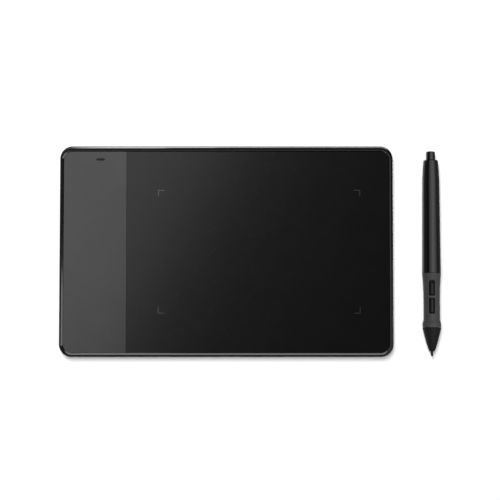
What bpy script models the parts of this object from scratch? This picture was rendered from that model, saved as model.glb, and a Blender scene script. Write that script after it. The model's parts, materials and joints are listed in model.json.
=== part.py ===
"""Pen drawing tablet: a slim tablet with its battery pen lying beside it.

The frame is metres with +Z up. +X runs along the tablet's long side.
+Y points away from the person who draws.
The origin lies on the desk, under the middle of the box that holds the tablet and the pen.
The tablet is a base cover and a top frame, screwed together round the sensing board and the main board.
The pen lies along Y with its nib towards -Y. Its barrel holds an AAA cell and comes off towards +Y.
"""

from math import cos, pi, radians, sin

import bmesh
import bpy
from mathutils import Vector

# ---------------------------------------------------------------- shared clearances
GAP = 0.0003  # between pieces that rest on each other
SOLDER_GAP = 0.0001  # between a board and the parts soldered to it
ROUND_STEPS = 24  # facets of a turned piece
SMALL_STEPS = 12  # facets of a small hidden turned piece
CORNER_STEPS = 6  # facets of each rounded corner of the tablet

# ---------------------------------------------------------------- tablet, overall
TABLET_WIDTH = 0.2430
TABLET_DEPTH = 0.1537
CORNER_RADIUS = 0.0092
FOOT_HEIGHT = 0.0009
TABLET_HEIGHT = 0.0090

# ---------------------------------------------------------------- pen, overall
PEN_LENGTH = 0.1496
PEN_RADIUS = 0.00675
PEN_OFFSET = 0.0280  # from the tablet's right side to the pen's axis
NIB_TIP_Y = -0.0763

# ---------------------------------------------------------------- places in the frame
TOTAL_WIDTH = TABLET_WIDTH + PEN_OFFSET + PEN_RADIUS
TABLET_X = (TABLET_WIDTH - TOTAL_WIDTH) / 2
PEN_X = TOTAL_WIDTH / 2 - PEN_RADIUS

# ---------------------------------------------------------------- tablet case, heights above the desk
FLOOR_TOP = 0.0024  # inside face of the base cover
SEAM = 0.0046  # top of the base cover's outer wall
LIP_TOP = 0.0060  # the base cover's lip stands inside the top frame
PLATE_BOTTOM = 0.0066  # the top frame's plate, which carries the sheets
PLATE_TOP = 0.0079
SHEET_BOTTOM = PLATE_TOP + GAP
SHEET_TOP = 0.0086
EDGE_HEIGHT = 0.0011  # rounding of the frame's upper outer edge
EDGE_INSET = 0.0009
LAND_INSET = 0.0014  # from the outline to the inner end of the rim's flat top
LAND_REAR_EXTRA = 0.0012  # the flat top ends this much further in along the rear
WALL = 0.0016
LIP_INSET = WALL + GAP
LIP_WALL = 0.0008
RECESS_INSET = 0.0028  # from the tablet's outline to the wall of the sheets' recess
RECESS_EDGE = 0.0085  # height of the recess's edge, at the foot of the rim's inner chamfer
REAR_EXTRA = 0.0010  # the rim is this much wider along the tablet's rear, where its edge rounds over further
SHEET_INSET = RECESS_INSET + GAP
PANEL_SEAM_X = -0.0728  # where the side panel meets the drawing sheet

# ---------------------------------------------------------------- feet and case screws
FOOT_RADIUS = 0.0060
FOOT_POCKET_TOP = 0.0020
FOOT_PLACES = {
    "front_left": (-0.109, -0.064),
    "front_right": (0.109, -0.064),
    "rear_left": (-0.109, 0.064),
    "rear_right": (0.109, 0.064),
}
BLOCK_RADIUS = 0.00725  # the base is thicker over each foot
BLOCK_TOP = 0.0044
CASE_HEAD_RADIUS = 0.0020
CASE_HEAD_SEAT = 0.0034  # the counterbore's ceiling
CASE_HEAD_END = 0.0022
CASE_SHANK_RADIUS = 0.0010
CASE_SHANK_END = 0.0068
BOSS_RADIUS = 0.0026
SCREW_RECESS = 0.0005

# ---------------------------------------------------------------- status lens, light pipe and port
LENS_PLACE = (-0.0920, 0.0672)
LENS_LENGTH = 0.0060
LENS_WIDTH = 0.0013
PIPE_RADIUS = 0.0009
PORT_Y = 0.040
PORT_HALF_WIDTH = 0.0042
PORT_BOTTOM = 0.00375
PORT_TOP = 0.00675

# ---------------------------------------------------------------- boards
BOARD_BOTTOM = 0.0031
BOARD_TOP = 0.0039
PARTS_BOTTOM = BOARD_TOP + SOLDER_GAP
BOARD_LEFT, BOARD_RIGHT = -0.1184, -0.0750
BOARD_FRONT, BOARD_REAR = -0.0080, 0.0715
BOARD_NOTCH = (-0.0990, 0.0555)  # the board steps round the rear left block
BOARD_SCREW_PLACES = ((-0.1110, -0.0030), (-0.0790, 0.0520))
POST_TOP = BOARD_BOTTOM - GAP
BOARD_SHANK_RADIUS = 0.0007
BOARD_SHANK_END = 0.0018
SENSOR_BOX = (-0.0610, 0.1110, -0.0580, 0.0580)
SENSOR_BOTTOM, SENSOR_TOP = 0.0053, 0.0063
CONNECTOR_BOX = (-0.0795, -0.0760, 0.0120, 0.0280)

# ---------------------------------------------------------------- pen, distances from the nib's tip
NIB_SHOWS = 0.0034
CONE_END = 0.0206
GRIP_START = CONE_END + GAP
WAIST_START, WAIST_END = 0.0266, 0.0410
GRIP_END = 0.0601
BARREL_START = GRIP_END + GAP
BARREL_END = 0.1429
SHOULDER_START = 0.1225
CAP_START = BARREL_END + GAP
WAIST_RADIUS = 0.00586
BARREL_REAR_RADIUS = 0.00622
SHOULDER_RADIUS = 0.00522
CAP_RADIUS = 0.00327
CORE_RADIUS = 0.0047
CORE_BORE = 0.0039
COLLAR_RADIUS = 0.00525
COLLAR_END = 0.0682
BORE_RADIUS = 0.00575  # of the barrel
BORE_END = 0.1225
PARTITION_END = 0.1240
END_ROUND = 0.0005  # at the barrel's rear edge
TUBE_OUTER, TUBE_INNER = 0.00560, 0.00540
CELL_START, CELL_END = 0.0705, 0.1142  # an AAA cell, without its terminal
CELL_RADIUS = 0.00515
NIB_RADIUS = 0.00095
NIB_END = 0.0217
HOLDER_SPAN = (0.0200, 0.0255)  # the nib's holder
FERRITE_SPAN = (0.0085, 0.0195)
COIL_SPAN = (0.0130, 0.0192)
SENSOR_SPAN = (0.0268, 0.0288)
PEN_BOARD_SPAN = (0.0300, 0.0590)
CONTACT_SPAN = (0.0660, 0.0694)  # its spring tip ends just short of the cell
CORE_START = 0.0176
PLUG_START = 0.1365  # the tail cap's plug inside the barrel
PLUG_RADIUS = 0.00245

# ---------------------------------------------------------------- pen's side buttons
SLOT_HALF_WIDTH = 0.0021
BUTTON_HALF_WIDTH = 0.0018
LOWER_SLOT = (0.0307, 0.0423)
UPPER_SLOT = (0.0437, 0.0550)
LOWER_BUTTON = (0.0310, 0.0420)
UPPER_BUTTON = (0.0440, 0.0534)
LOWER_CROWN = (0.00612, 0.00618)  # height over the pen's axis at each end
UPPER_CROWN = (0.00620, 0.00655)
BUTTON_BOTTOM = 0.0028
SWITCH_TOP = 0.0014
PLUNGER_TOP = 0.0022
PEN_BOARD_TOP = -0.0002
PEN_BOARD_THICKNESS = 0.0008


# ================================================================ materials
def material(name, colour, roughness, metallic=0.0):
    made = bpy.data.materials.new(name)
    made.use_nodes = True
    shader = made.node_tree.nodes["Principled BSDF"]
    shader.inputs["Base Color"].default_value = (*colour, 1.0)
    shader.inputs["Roughness"].default_value = roughness
    shader.inputs["Metallic"].default_value = metallic
    return made


def make_materials():
    """Each material by name, as colour, roughness and metallic value."""
    wanted = {
        "frame_gloss": ((0.006, 0.006, 0.007), 0.12),
        "case_black": ((0.012, 0.012, 0.013), 0.45),
        "drawing_black": ((0.010, 0.010, 0.011), 0.50),
        "panel_grey": ((0.035, 0.035, 0.036), 0.35),
        "lens_dark": ((0.010, 0.010, 0.012), 0.10),
        "pipe_clear": ((0.80, 0.82, 0.85), 0.15),
        "led_white": ((0.85, 0.85, 0.75), 0.30),
        "board_green": ((0.010, 0.075, 0.030), 0.40),
        "film_amber": ((0.35, 0.16, 0.03), 0.35),
        "chip_black": ((0.015, 0.015, 0.016), 0.50),
        "steel": ((0.55, 0.56, 0.58), 0.35, 1.0),
        "nickel": ((0.65, 0.64, 0.60), 0.25, 1.0),
        "connector_cream": ((0.62, 0.58, 0.48), 0.45),
        "ribbon_white": ((0.70, 0.70, 0.68), 0.40),
        "foot_rubber": ((0.014, 0.014, 0.014), 0.85),
        "pen_gloss": ((0.008, 0.008, 0.009), 0.15),
        "grip_rubber": ((0.040, 0.040, 0.041), 0.60),
        "cone_satin": ((0.014, 0.014, 0.014), 0.45),
        "nib_black": ((0.010, 0.010, 0.010), 0.40),
        "core_grey": ((0.10, 0.10, 0.105), 0.50),
        "ferrite": ((0.045, 0.042, 0.042), 0.70),
        "copper": ((0.75, 0.33, 0.14), 0.30, 1.0),
        "brass": ((0.75, 0.58, 0.25), 0.30, 1.0),
        "cell_jacket": ((0.10, 0.18, 0.32), 0.30),
    }
    return {name: material(name, *values) for name, values in wanted.items()}


# ================================================================ shape tools
def rounded_rect(left, right, front, rear, radii):
    """The outline of a rectangle, with radii at rear right, rear left, front left and front right."""
    corners = ((right, rear, 0), (left, rear, 90), (left, front, 180), (right, front, 270))
    outline = []
    for (x, y, start), radius in zip(corners, radii):
        centre = (
            x - radius if x == right else x + radius,
            y - radius if y == rear else y + radius,
        )
        for step in range(CORNER_STEPS + 1 if radius else 1):
            angle = radians(start + 90 * step / CORNER_STEPS)
            outline.append((centre[0] + radius * cos(angle), centre[1] + radius * sin(angle)))
    return outline


def tablet_ring(inset, height, rear_extra=0.0):
    """The tablet's outline at a height above the desk, drawn in by inset and by rear_extra more at the rear."""
    half_width, half_depth = TABLET_WIDTH / 2 - inset, TABLET_DEPTH / 2 - inset
    radii = [CORNER_RADIUS - inset] * 4
    outline = rounded_rect(-half_width, half_width, -half_depth, half_depth - rear_extra, radii)
    return [(x, y, height) for x, y in outline]


def rectangle(left, right, front, rear):
    return [(right, rear), (left, rear), (left, front), (right, front)]


def stadium(place, length, width):
    """A slot's outline, with round ends, its length along X."""
    x, y = place
    half = width / 2
    outline = []
    for side, start in ((1, -90), (-1, 90)):
        for step in range(CORNER_STEPS + 1):
            angle = radians(start + 180 * step / CORNER_STEPS)
            outline.append((x + side * (length / 2 - half) + half * cos(angle), y + half * sin(angle)))
    return outline


def add_prism(solid, outline, bottom, top):
    """Extrudes a flat outline from one height to another."""
    face = solid.faces.new([solid.verts.new((x, y, bottom)) for x, y in outline])
    grown = bmesh.ops.extrude_face_region(solid, geom=[face])["geom"]
    lifted = [item for item in grown if isinstance(item, bmesh.types.BMVert)]
    bmesh.ops.translate(solid, vec=(0, 0, top - bottom), verts=lifted)


def add_skin(solid, rings, tube=False):
    """Faces from each ring of points to the next. A tube's last ring meets its first; others are capped."""
    rows = [[solid.verts.new(point) for point in ring] for ring in rings]
    pairs = list(zip(rows, rows[1:])) + ([(rows[-1], rows[0])] if tube else [])
    for row, next_row in pairs:
        for i, vertex in enumerate(row):
            j = (i + 1) % len(row)
            solid.faces.new((vertex, row[j], next_row[j], next_row[i]))
    if not tube:
        solid.faces.new(rows[0])
        solid.faces.new(rows[-1])


def add_turned(solid, profile, along, place=(0, 0, 0), ring=False, steps=ROUND_STEPS):
    """Turns a profile of (distance along the axis, radius) round the axis.

    A ring's profile closes on itself. Any other profile starts and ends on the axis.
    """
    axis, start = Vector(along), Vector(place)
    out = Vector((0, 0, 1)) if axis.z == 0 else Vector((1, 0, 0))
    points = [start + axis * distance + out * radius for distance, radius in profile]
    verts = [solid.verts.new(point) for point in points]
    ends = list(zip(verts, verts[1:])) + ([(verts[-1], verts[0])] if ring else [])
    edges = [solid.edges.new(pair) for pair in ends]
    bmesh.ops.spin(
        solid, geom=verts + edges, cent=start, axis=axis, angle=2 * pi, steps=steps, use_merge=True
    )


def add_rod(solid, place, radius, bottom, top, steps=SMALL_STEPS):
    """An upright cylinder at a place in plan."""
    profile = [(bottom, 0), (bottom, radius), (top, radius), (top, 0)]
    add_turned(solid, profile, (0, 0, 1), (*place, 0), steps=steps)


def make(name, solid, surface, parent):
    """Closes a solid's mesh and adds it to the scene as one object."""
    bmesh.ops.remove_doubles(solid, verts=solid.verts, dist=1e-7)
    bmesh.ops.recalc_face_normals(solid, faces=solid.faces)
    mesh = bpy.data.meshes.new(name)
    solid.to_mesh(mesh)
    solid.free()
    mesh.materials.append(surface)
    mesh.shade_smooth()
    mesh.set_sharp_from_angle(angle=radians(32))
    made = bpy.data.objects.new(name, mesh)
    made.parent = parent
    bpy.context.scene.collection.objects.link(made)
    return made


def combine(target, name, solid, operation):
    """Cuts a helper solid from target, or joins it on."""
    helper = make(name, solid, target.data.materials[0], target.parent)
    helper.hide_render = True
    helper.display_type = "WIRE"
    boolean = target.modifiers.new(name, "BOOLEAN")
    boolean.operation = operation
    boolean.object = helper


def box(name, place, size, bottom, top, surface, parent):
    """A plain upright block, such as a chip."""
    (x, y), (length, width) = place, size
    solid = bmesh.new()
    add_prism(solid, rectangle(x - length / 2, x + length / 2, y - width / 2, y + width / 2), bottom, top)
    return make(name, solid, surface, parent)


def assembly(name, place):
    """An empty that the pieces of an assembly are placed from."""
    empty = bpy.data.objects.new(name, None)
    empty.location = place
    bpy.context.scene.collection.objects.link(empty)
    return empty


# ================================================================ tablet case
def base_cover(surface, parent):
    """The lower tray: its sides curl in under the tablet, and a lip stands up behind the seam."""
    lip_inside = LIP_INSET + LIP_WALL
    sections = (
        (0.0034, FOOT_HEIGHT),
        (0.0018, 0.0012),
        (0.0007, 0.0019),
        (0.0001, 0.0029),
        (0.0, 0.0037),
        (0.0, SEAM),
        (LIP_INSET, SEAM),
        (LIP_INSET, LIP_TOP),
        (lip_inside, LIP_TOP),
        (lip_inside, FLOOR_TOP),
    )
    solid = bmesh.new()
    add_skin(solid, [tablet_ring(inset, height) for inset, height in sections])
    cover = make("base_cover", solid, surface, parent)
    combine(cover, "base_bosses", base_bosses(), "UNION")
    combine(cover, "base_cuts", base_cuts(), "DIFFERENCE")
    return cover


def base_bosses():
    """What stands on the base cover's floor: a block over each foot, the board's posts, and shield ribs."""
    rooted = FLOOR_TOP - 0.0005
    solid = bmesh.new()
    for place in FOOT_PLACES.values():
        add_rod(solid, place, BLOCK_RADIUS, rooted, BLOCK_TOP, ROUND_STEPS)
    for place in BOARD_SCREW_PLACES:
        add_rod(solid, place, 0.0022, rooted, POST_TOP)
    for rib_y in (-0.036, 0.0, 0.036):
        add_prism(solid, rectangle(-0.055, 0.090, rib_y - 0.0006, rib_y + 0.0006), rooted, 0.0038)
    return solid


def base_cuts():
    """Foot pockets with a stepped screw hole in each, blind holes in the posts, and the port's lower half."""
    steps = (
        (0.0, 0),
        (0.0, FOOT_RADIUS + GAP),
        (FOOT_POCKET_TOP, FOOT_RADIUS + GAP),
        (FOOT_POCKET_TOP, CASE_HEAD_RADIUS + GAP),
        (CASE_HEAD_SEAT, CASE_HEAD_RADIUS + GAP),
        (CASE_HEAD_SEAT, CASE_SHANK_RADIUS + GAP),
        (BLOCK_TOP + 0.0005, CASE_SHANK_RADIUS + GAP),
        (BLOCK_TOP + 0.0005, 0),
    )
    solid = bmesh.new()
    for x, y in FOOT_PLACES.values():
        add_turned(solid, steps, (0, 0, 1), (x, y, 0))
    for place in BOARD_SCREW_PLACES:
        add_rod(solid, place, BOARD_SHANK_RADIUS + GAP, BOARD_SHANK_END - 0.0002, POST_TOP + 0.0005)
    add_port_cut(solid)
    return solid


def add_port_cut(solid):
    """The opening for the cable's plug, through the left wall."""
    outside, inside = -TABLET_WIDTH / 2 - 0.001, -TABLET_WIDTH / 2 + 0.0045
    opening = rectangle(outside, inside, PORT_Y - PORT_HALF_WIDTH, PORT_Y + PORT_HALF_WIDTH)
    add_prism(solid, opening, PORT_BOTTOM, PORT_TOP)


def top_frame(surface, parent):
    """The upper shell: a rounded rim round a plate, which is let down to take the two sheets."""
    rounding = []
    for step in range(5):
        angle = radians(90 * step / 4)
        turned_in = 1 - cos(angle)
        height = TABLET_HEIGHT - EDGE_HEIGHT * (1 - sin(angle))
        rounding.append((EDGE_INSET * turned_in, height, REAR_EXTRA * turned_in))
    sections = (
        (WALL, PLATE_BOTTOM),
        (WALL, SEAM + GAP),
        (0.0, SEAM + GAP),
        *rounding,
        (LAND_INSET, TABLET_HEIGHT, LAND_REAR_EXTRA),
        (RECESS_INSET, RECESS_EDGE, REAR_EXTRA),
        (RECESS_INSET, PLATE_TOP, REAR_EXTRA),
    )
    solid = bmesh.new()
    add_skin(solid, [tablet_ring(*section) for section in sections])
    frame = make("top_frame", solid, surface, parent)
    bosses = bmesh.new()
    for place in FOOT_PLACES.values():
        add_rod(bosses, place, BOSS_RADIUS, BLOCK_TOP + GAP, PLATE_BOTTOM + 0.0005)
    combine(frame, "frame_bosses", bosses, "UNION")
    cuts = bmesh.new()
    for place in FOOT_PLACES.values():
        add_rod(cuts, place, CASE_SHANK_RADIUS + GAP, BLOCK_TOP, CASE_SHANK_END + 0.0004)
    add_rod(cuts, LENS_PLACE, PIPE_RADIUS + GAP, PLATE_BOTTOM - 0.0005, PLATE_TOP + 0.0005)
    add_port_cut(cuts)
    combine(frame, "frame_cuts", cuts, "DIFFERENCE")
    return frame


def sheet(name, left, right, radii, surface, parent):
    """A flat sheet in the frame's recess."""
    front, rear = SHEET_INSET - TABLET_DEPTH / 2, TABLET_DEPTH / 2 - SHEET_INSET - REAR_EXTRA
    solid = bmesh.new()
    add_prism(solid, rounded_rect(left, right, front, rear, radii), SHEET_BOTTOM, SHEET_TOP)
    return make(name, solid, surface, parent)


def sheets(surfaces, parent):
    """The drawing sheet, and the side panel with a slot for its status lens."""
    edge = TABLET_WIDTH / 2 - SHEET_INSET
    corner = CORNER_RADIUS - SHEET_INSET
    sheet(
        "drawing_sheet",
        PANEL_SEAM_X + GAP / 2,
        edge,
        (corner, 0, 0, corner),
        surfaces["drawing_black"],
        parent,
    )
    panel = sheet(
        "side_panel",
        -edge,
        PANEL_SEAM_X - GAP / 2,
        (0, corner, corner, 0),
        surfaces["panel_grey"],
        parent,
    )
    slot = bmesh.new()
    outline = stadium(LENS_PLACE, LENS_LENGTH + 2 * GAP, LENS_WIDTH + 2 * GAP)
    add_prism(slot, outline, SHEET_BOTTOM - 0.001, SHEET_TOP + 0.001)
    combine(panel, "lens_slot", slot, "DIFFERENCE")


def status_light(surfaces, parent):
    """The lens in the side panel, the light pipe under it, and the lamp on the main board."""
    lens = bmesh.new()
    add_prism(lens, stadium(LENS_PLACE, LENS_LENGTH, LENS_WIDTH), SHEET_BOTTOM, SHEET_TOP)
    make("status_lens", lens, surfaces["lens_dark"], parent)
    flange_bottom, flange_top = 0.0059, 0.0063
    profile = (
        (0.0049, 0),
        (0.0049, PIPE_RADIUS),
        (flange_bottom, PIPE_RADIUS),
        (flange_bottom, 0.0016),
        (flange_top, 0.0016),
        (flange_top, PIPE_RADIUS),
        (PLATE_TOP, PIPE_RADIUS),
        (PLATE_TOP, 0),
    )
    pipe = bmesh.new()
    add_turned(pipe, profile, (0, 0, 1), (*LENS_PLACE, 0), steps=SMALL_STEPS)
    make("light_pipe", pipe, surfaces["pipe_clear"], parent)
    box("status_led", LENS_PLACE, (0.0016, 0.0010), PARTS_BOTTOM, 0.0046, surfaces["led_white"], parent)


def feet(surface, parent):
    profile = (
        (0.0, 0),
        (0.0, FOOT_RADIUS - 0.0005),
        (0.0004, FOOT_RADIUS),
        (FOOT_POCKET_TOP - GAP, FOOT_RADIUS),
        (FOOT_POCKET_TOP - GAP, 0),
    )
    for corner, (x, y) in FOOT_PLACES.items():
        solid = bmesh.new()
        add_turned(solid, profile, (0, 0, 1), (x, y, 0))
        make("foot_" + corner, solid, surface, parent)


def cross_cut(place, bottom, top, reach):
    """The cross-shaped recess of a screw's head."""
    x, y = place
    half = reach / 5
    solid = bmesh.new()
    quarter = [(reach, -half), (reach, half), (half, half)]
    outline = []
    for turn in range(4):
        angle = radians(90 * turn)
        for px, py in quarter:
            outline.append((x + px * cos(angle) - py * sin(angle), y + px * sin(angle) + py * cos(angle)))
    add_prism(solid, outline, bottom, top)
    return solid


def screw(name, place, heights, radii, surface, parent):
    """A pan-head screw: heights of its head's end, its seat and its shank's end, and the two radii."""
    head_end, seat, shank_end = heights
    head_radius, shank_radius = radii
    profile = (
        (head_end, 0),
        (head_end, head_radius * 0.8),
        (head_end + (seat - head_end) * 0.4, head_radius),
        (seat, head_radius),
        (seat, shank_radius),
        (shank_end, shank_radius),
        (shank_end, 0),
    )
    solid = bmesh.new()
    add_turned(solid, profile, (0, 0, 1), (*place, 0), steps=SMALL_STEPS)
    made = make(name, solid, surface, parent)
    outward = 1 if head_end > seat else -1
    ends = sorted((head_end - outward * SCREW_RECESS, head_end + outward * SCREW_RECESS))
    combine(made, name + "_recess", cross_cut(place, *ends, head_radius * 0.55), "DIFFERENCE")


def screws(surface, parent):
    """Four long screws up through the feet's pockets, and two short ones down through the main board."""
    heights = (CASE_HEAD_END, CASE_HEAD_SEAT - GAP, CASE_SHANK_END)
    for corner, place in FOOT_PLACES.items():
        radii = (CASE_HEAD_RADIUS, CASE_SHANK_RADIUS)
        screw("case_screw_" + corner, place, heights, radii, surface, parent)
    seat = BOARD_TOP + GAP
    for side, place in zip(("front", "rear"), BOARD_SCREW_PLACES):
        heights = (seat + 0.0008, seat, BOARD_SHANK_END)
        screw("board_screw_" + side, place, heights, (0.0016, BOARD_SHANK_RADIUS), surface, parent)


# ================================================================ tablet's boards
def sensor_stack(surfaces, parent):
    """The sensing board under the drawing sheet, an insulating film, and the steel shield on the ribs."""
    left, right, front, rear = SENSOR_BOX
    layers = (
        ("sensor_board", 0.0, SENSOR_BOTTOM, SENSOR_TOP, "board_green"),
        ("insulating_film", 0.001, 0.0047, 0.0050, "film_amber"),
        ("shield_plate", 0.002, 0.0041, 0.0044, "steel"),
    )
    for name, inset, bottom, top, slot in layers:
        solid = bmesh.new()
        outline = rounded_rect(left + inset, right - inset, front + inset, rear - inset, [0.002] * 4)
        add_prism(solid, outline, bottom, top)
        make(name, solid, surfaces[slot], parent)


def main_board(surfaces, parent):
    """The board under the side panel, stepped round the rear left block, and the parts soldered to it."""
    notch_x, notch_y = BOARD_NOTCH
    outline = [
        (BOARD_LEFT, BOARD_FRONT),
        (BOARD_RIGHT, BOARD_FRONT),
        (BOARD_RIGHT, BOARD_REAR),
        (notch_x, BOARD_REAR),
        (notch_x, notch_y),
        (BOARD_LEFT, notch_y),
    ]
    solid = bmesh.new()
    add_prism(solid, outline, BOARD_BOTTOM, BOARD_TOP)
    board = make("main_board", solid, surfaces["board_green"], parent)
    holes = bmesh.new()
    for place in BOARD_SCREW_PLACES:
        add_rod(holes, place, BOARD_SHANK_RADIUS + GAP, BOARD_BOTTOM - 0.001, BOARD_TOP + 0.001)
    combine(board, "board_holes", holes, "DIFFERENCE")
    parts = (
        ("main_chip", (-0.0950, 0.0220), (0.0070, 0.0070), 0.0050, "chip_black"),
        ("analog_chip", (-0.0880, 0.0060), (0.0050, 0.0050), 0.0049, "chip_black"),
        ("voltage_regulator", (-0.1090, 0.0270), (0.0029, 0.0016), 0.0050, "chip_black"),
        ("crystal", (-0.1040, 0.0140), (0.0032, 0.0025), 0.0048, "nickel"),
    )
    for name, place, size, top, slot in parts:
        box(name, place, size, PARTS_BOTTOM, top, surfaces[slot], parent)


def sensor_link(surfaces, parent):
    """The socket on the main board and the flat cable from it to the sensing board's edge."""
    left, right, front, rear = CONNECTOR_BOX
    solid = bmesh.new()
    add_prism(solid, rectangle(left, right, front, rear), PARTS_BOTTOM, 0.0054)
    make("sensor_connector", solid, surfaces["connector_cream"], parent)
    start_x, end_x = right + GAP, SENSOR_BOX[0] - GAP
    start_z, end_z = 0.0047, 0.0058
    half_thickness = 0.0001
    rings = []
    for step in range(9):
        share = step / 8
        x = start_x + (end_x - start_x) * share
        z = start_z + (end_z - start_z) * (1 - cos(pi * share)) / 2
        rings.append(
            [
                (x, front + 0.001, z - half_thickness),
                (x, rear - 0.001, z - half_thickness),
                (x, rear - 0.001, z + half_thickness),
                (x, front + 0.001, z + half_thickness),
            ]
        )
    cable = bmesh.new()
    add_skin(cable, rings)
    make("ribbon_cable", cable, surfaces["ribbon_white"], parent)


def usb_port(surfaces, parent):
    """The receptacle's folded metal shell, and the block inside it that carries the contact tongue."""
    mouth, back = -TABLET_WIDTH / 2 + 0.0005, -TABLET_WIDTH / 2 + 0.0061
    bottom, top = PARTS_BOTTOM, 0.0064
    wall = 0.0003

    def section(x, inset):
        """The receptacle's outline, narrower at its foot."""
        half, foot = 0.00375 - inset, 0.00295 - inset
        low, high = bottom + inset, top - inset
        knee = low + 0.0008
        points = [(half, high), (-half, high), (-half, knee), (-foot, low), (foot, low), (half, knee)]
        return [(x, PORT_Y + y, z) for y, z in points]

    shell = bmesh.new()
    walls = [section(mouth, 0), section(back, 0), section(back, wall), section(mouth, wall)]
    add_skin(shell, walls, tube=True)
    make("usb_receptacle", shell, surfaces["nickel"], parent)

    side = [
        (back - 0.0003, bottom + 0.0006),
        (back - 0.0003, top - 0.0006),
        (mouth + 0.0006, top - 0.0006),
        (mouth + 0.0006, top - 0.0011),
        (back - 0.0013, top - 0.0011),
        (back - 0.0013, bottom + 0.0006),
    ]
    tongue = bmesh.new()
    add_skin(tongue, [[(x, PORT_Y + y, z) for x, z in side] for y in (-0.00185, 0.00185)])
    make("usb_tongue", tongue, surfaces["chip_black"], parent)


# ================================================================ pen
def turned(name, profile, surface, parent, ring=False, steps=ROUND_STEPS):
    """A piece of the pen that is round about its axis."""
    solid = bmesh.new()
    add_turned(solid, profile, (0, 1, 0), ring=ring, steps=steps)
    return make(name, solid, surface, parent)


def eased(start, end, steps):
    """Profile points from start to end, leaving and arriving parallel to the axis."""
    points = []
    for step in range(steps + 1):
        share = step / steps
        ease = share * share * (3 - 2 * share)
        points.append((start[0] + (end[0] - start[0]) * share, start[1] + (end[1] - start[1]) * ease))
    return points


def tube(start, end, outer, inner):
    return [(start, outer), (end, outer), (end, inner), (start, inner)]


def disc(start, end, radius):
    return [(start, 0), (start, radius), (end, radius), (end, 0)]


def cone_radius(distance):
    """The nose cone's outer radius: a full-bellied cone."""
    share = (distance - NIB_SHOWS) / (CONE_END - NIB_SHOWS)
    return 0.00155 + (PEN_RADIUS - 0.00155) * share**0.73


def nose_cone(surface, parent):
    wall = 0.0010
    stations = [NIB_SHOWS + (CONE_END - NIB_SHOWS) * (step / 8) ** 1.3 for step in range(9)]
    outer = [(distance, cone_radius(distance)) for distance in stations]
    hollow = [(distance, cone_radius(distance) - wall) for distance in (CONE_END, 0.0165, 0.0120, 0.0080)]
    bore = [(0.0070, NIB_RADIUS + GAP), (NIB_SHOWS, NIB_RADIUS + GAP)]
    return turned("nose_cone", outer + hollow + bore, surface, parent, ring=True)


def pen_grip(surface, parent):
    """The soft sleeve: a flange next to the cone, a waist, a swell up to the barrel, and two button slots."""
    swell = []
    for step in range(1, 7):
        share = step / 6
        distance = WAIST_END + (GRIP_END - WAIST_END) * share
        swell.append((distance, WAIST_RADIUS + (PEN_RADIUS - WAIST_RADIUS) * share**2))
    outer = [(GRIP_START, PEN_RADIUS)] + eased((0.0232, PEN_RADIUS), (WAIST_START, WAIST_RADIUS), 5)
    outer += [(WAIST_END, WAIST_RADIUS)] + swell
    inner_radius = CORE_RADIUS + GAP
    profile = outer + [(GRIP_END, inner_radius), (GRIP_START, inner_radius)]
    grip = turned("pen_grip", profile, surface, parent, ring=True)
    slots = bmesh.new()
    for start, end in (LOWER_SLOT, UPPER_SLOT):
        opening = rectangle(-SLOT_HALF_WIDTH, SLOT_HALF_WIDTH, start, end)
        add_prism(slots, opening, BUTTON_BOTTOM, PEN_RADIUS + 0.001)
    combine(grip, "button_slots", slots, "DIFFERENCE")


def pen_core(surface, parent):
    """The inner chassis, from the cone to the threaded collar that the barrel screws on."""
    collar_start = GRIP_END + GAP
    collar_seat = COLLAR_END - 0.0042  # where the positive contact rests
    root = COLLAR_RADIUS - 0.0003
    thread = []
    for turn in range(4):
        crest = collar_start + 0.0016 + turn * 0.0014
        thread += [(crest - 0.0004, root), (crest, COLLAR_RADIUS), (crest + 0.0004, root)]
    profile = [(CORE_START, CORE_RADIUS), (collar_start, CORE_RADIUS), (collar_start, COLLAR_RADIUS)]
    profile += [(collar_start + 0.0008, COLLAR_RADIUS)] + thread + [(COLLAR_END, root)]
    profile += [(COLLAR_END, CORE_BORE + 0.0004), (collar_seat, CORE_BORE + 0.0004)]
    profile += [(collar_seat, CORE_BORE), (CORE_START, CORE_BORE)]
    core = turned("pen_core", profile, surface, parent, ring=True)
    slot = bmesh.new()
    opening = rectangle(-SLOT_HALF_WIDTH, SLOT_HALF_WIDTH, LOWER_SLOT[0], UPPER_SLOT[1])
    add_prism(slot, opening, BUTTON_BOTTOM - GAP, PEN_RADIUS)
    combine(core, "core_slot", slot, "DIFFERENCE")


def side_button(name, span, crown, surface, parent):
    """A long key with a crowned top, reaching down to its switch."""
    start, end = span
    half = BUTTON_HALF_WIDTH
    rings = []
    for share, drop in ((0.0, 0.0007), (0.04, 0.0001), (0.5, 0.0), (0.96, 0.0001), (1.0, 0.0007)):
        y = start + (end - start) * share
        top = crown[0] + (crown[1] - crown[0]) * share - drop
        side = [(-half, BUTTON_BOTTOM), (-half, top - 0.0006), (-half * 0.75, top - 0.00015), (0, top)]
        mirrored = [(-x, z) for x, z in reversed(side[:-1])]
        rings.append([(x, y, z) for x, z in side + mirrored])
    solid = bmesh.new()
    add_skin(solid, rings)
    return make(name, solid, surface, parent)


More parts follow.
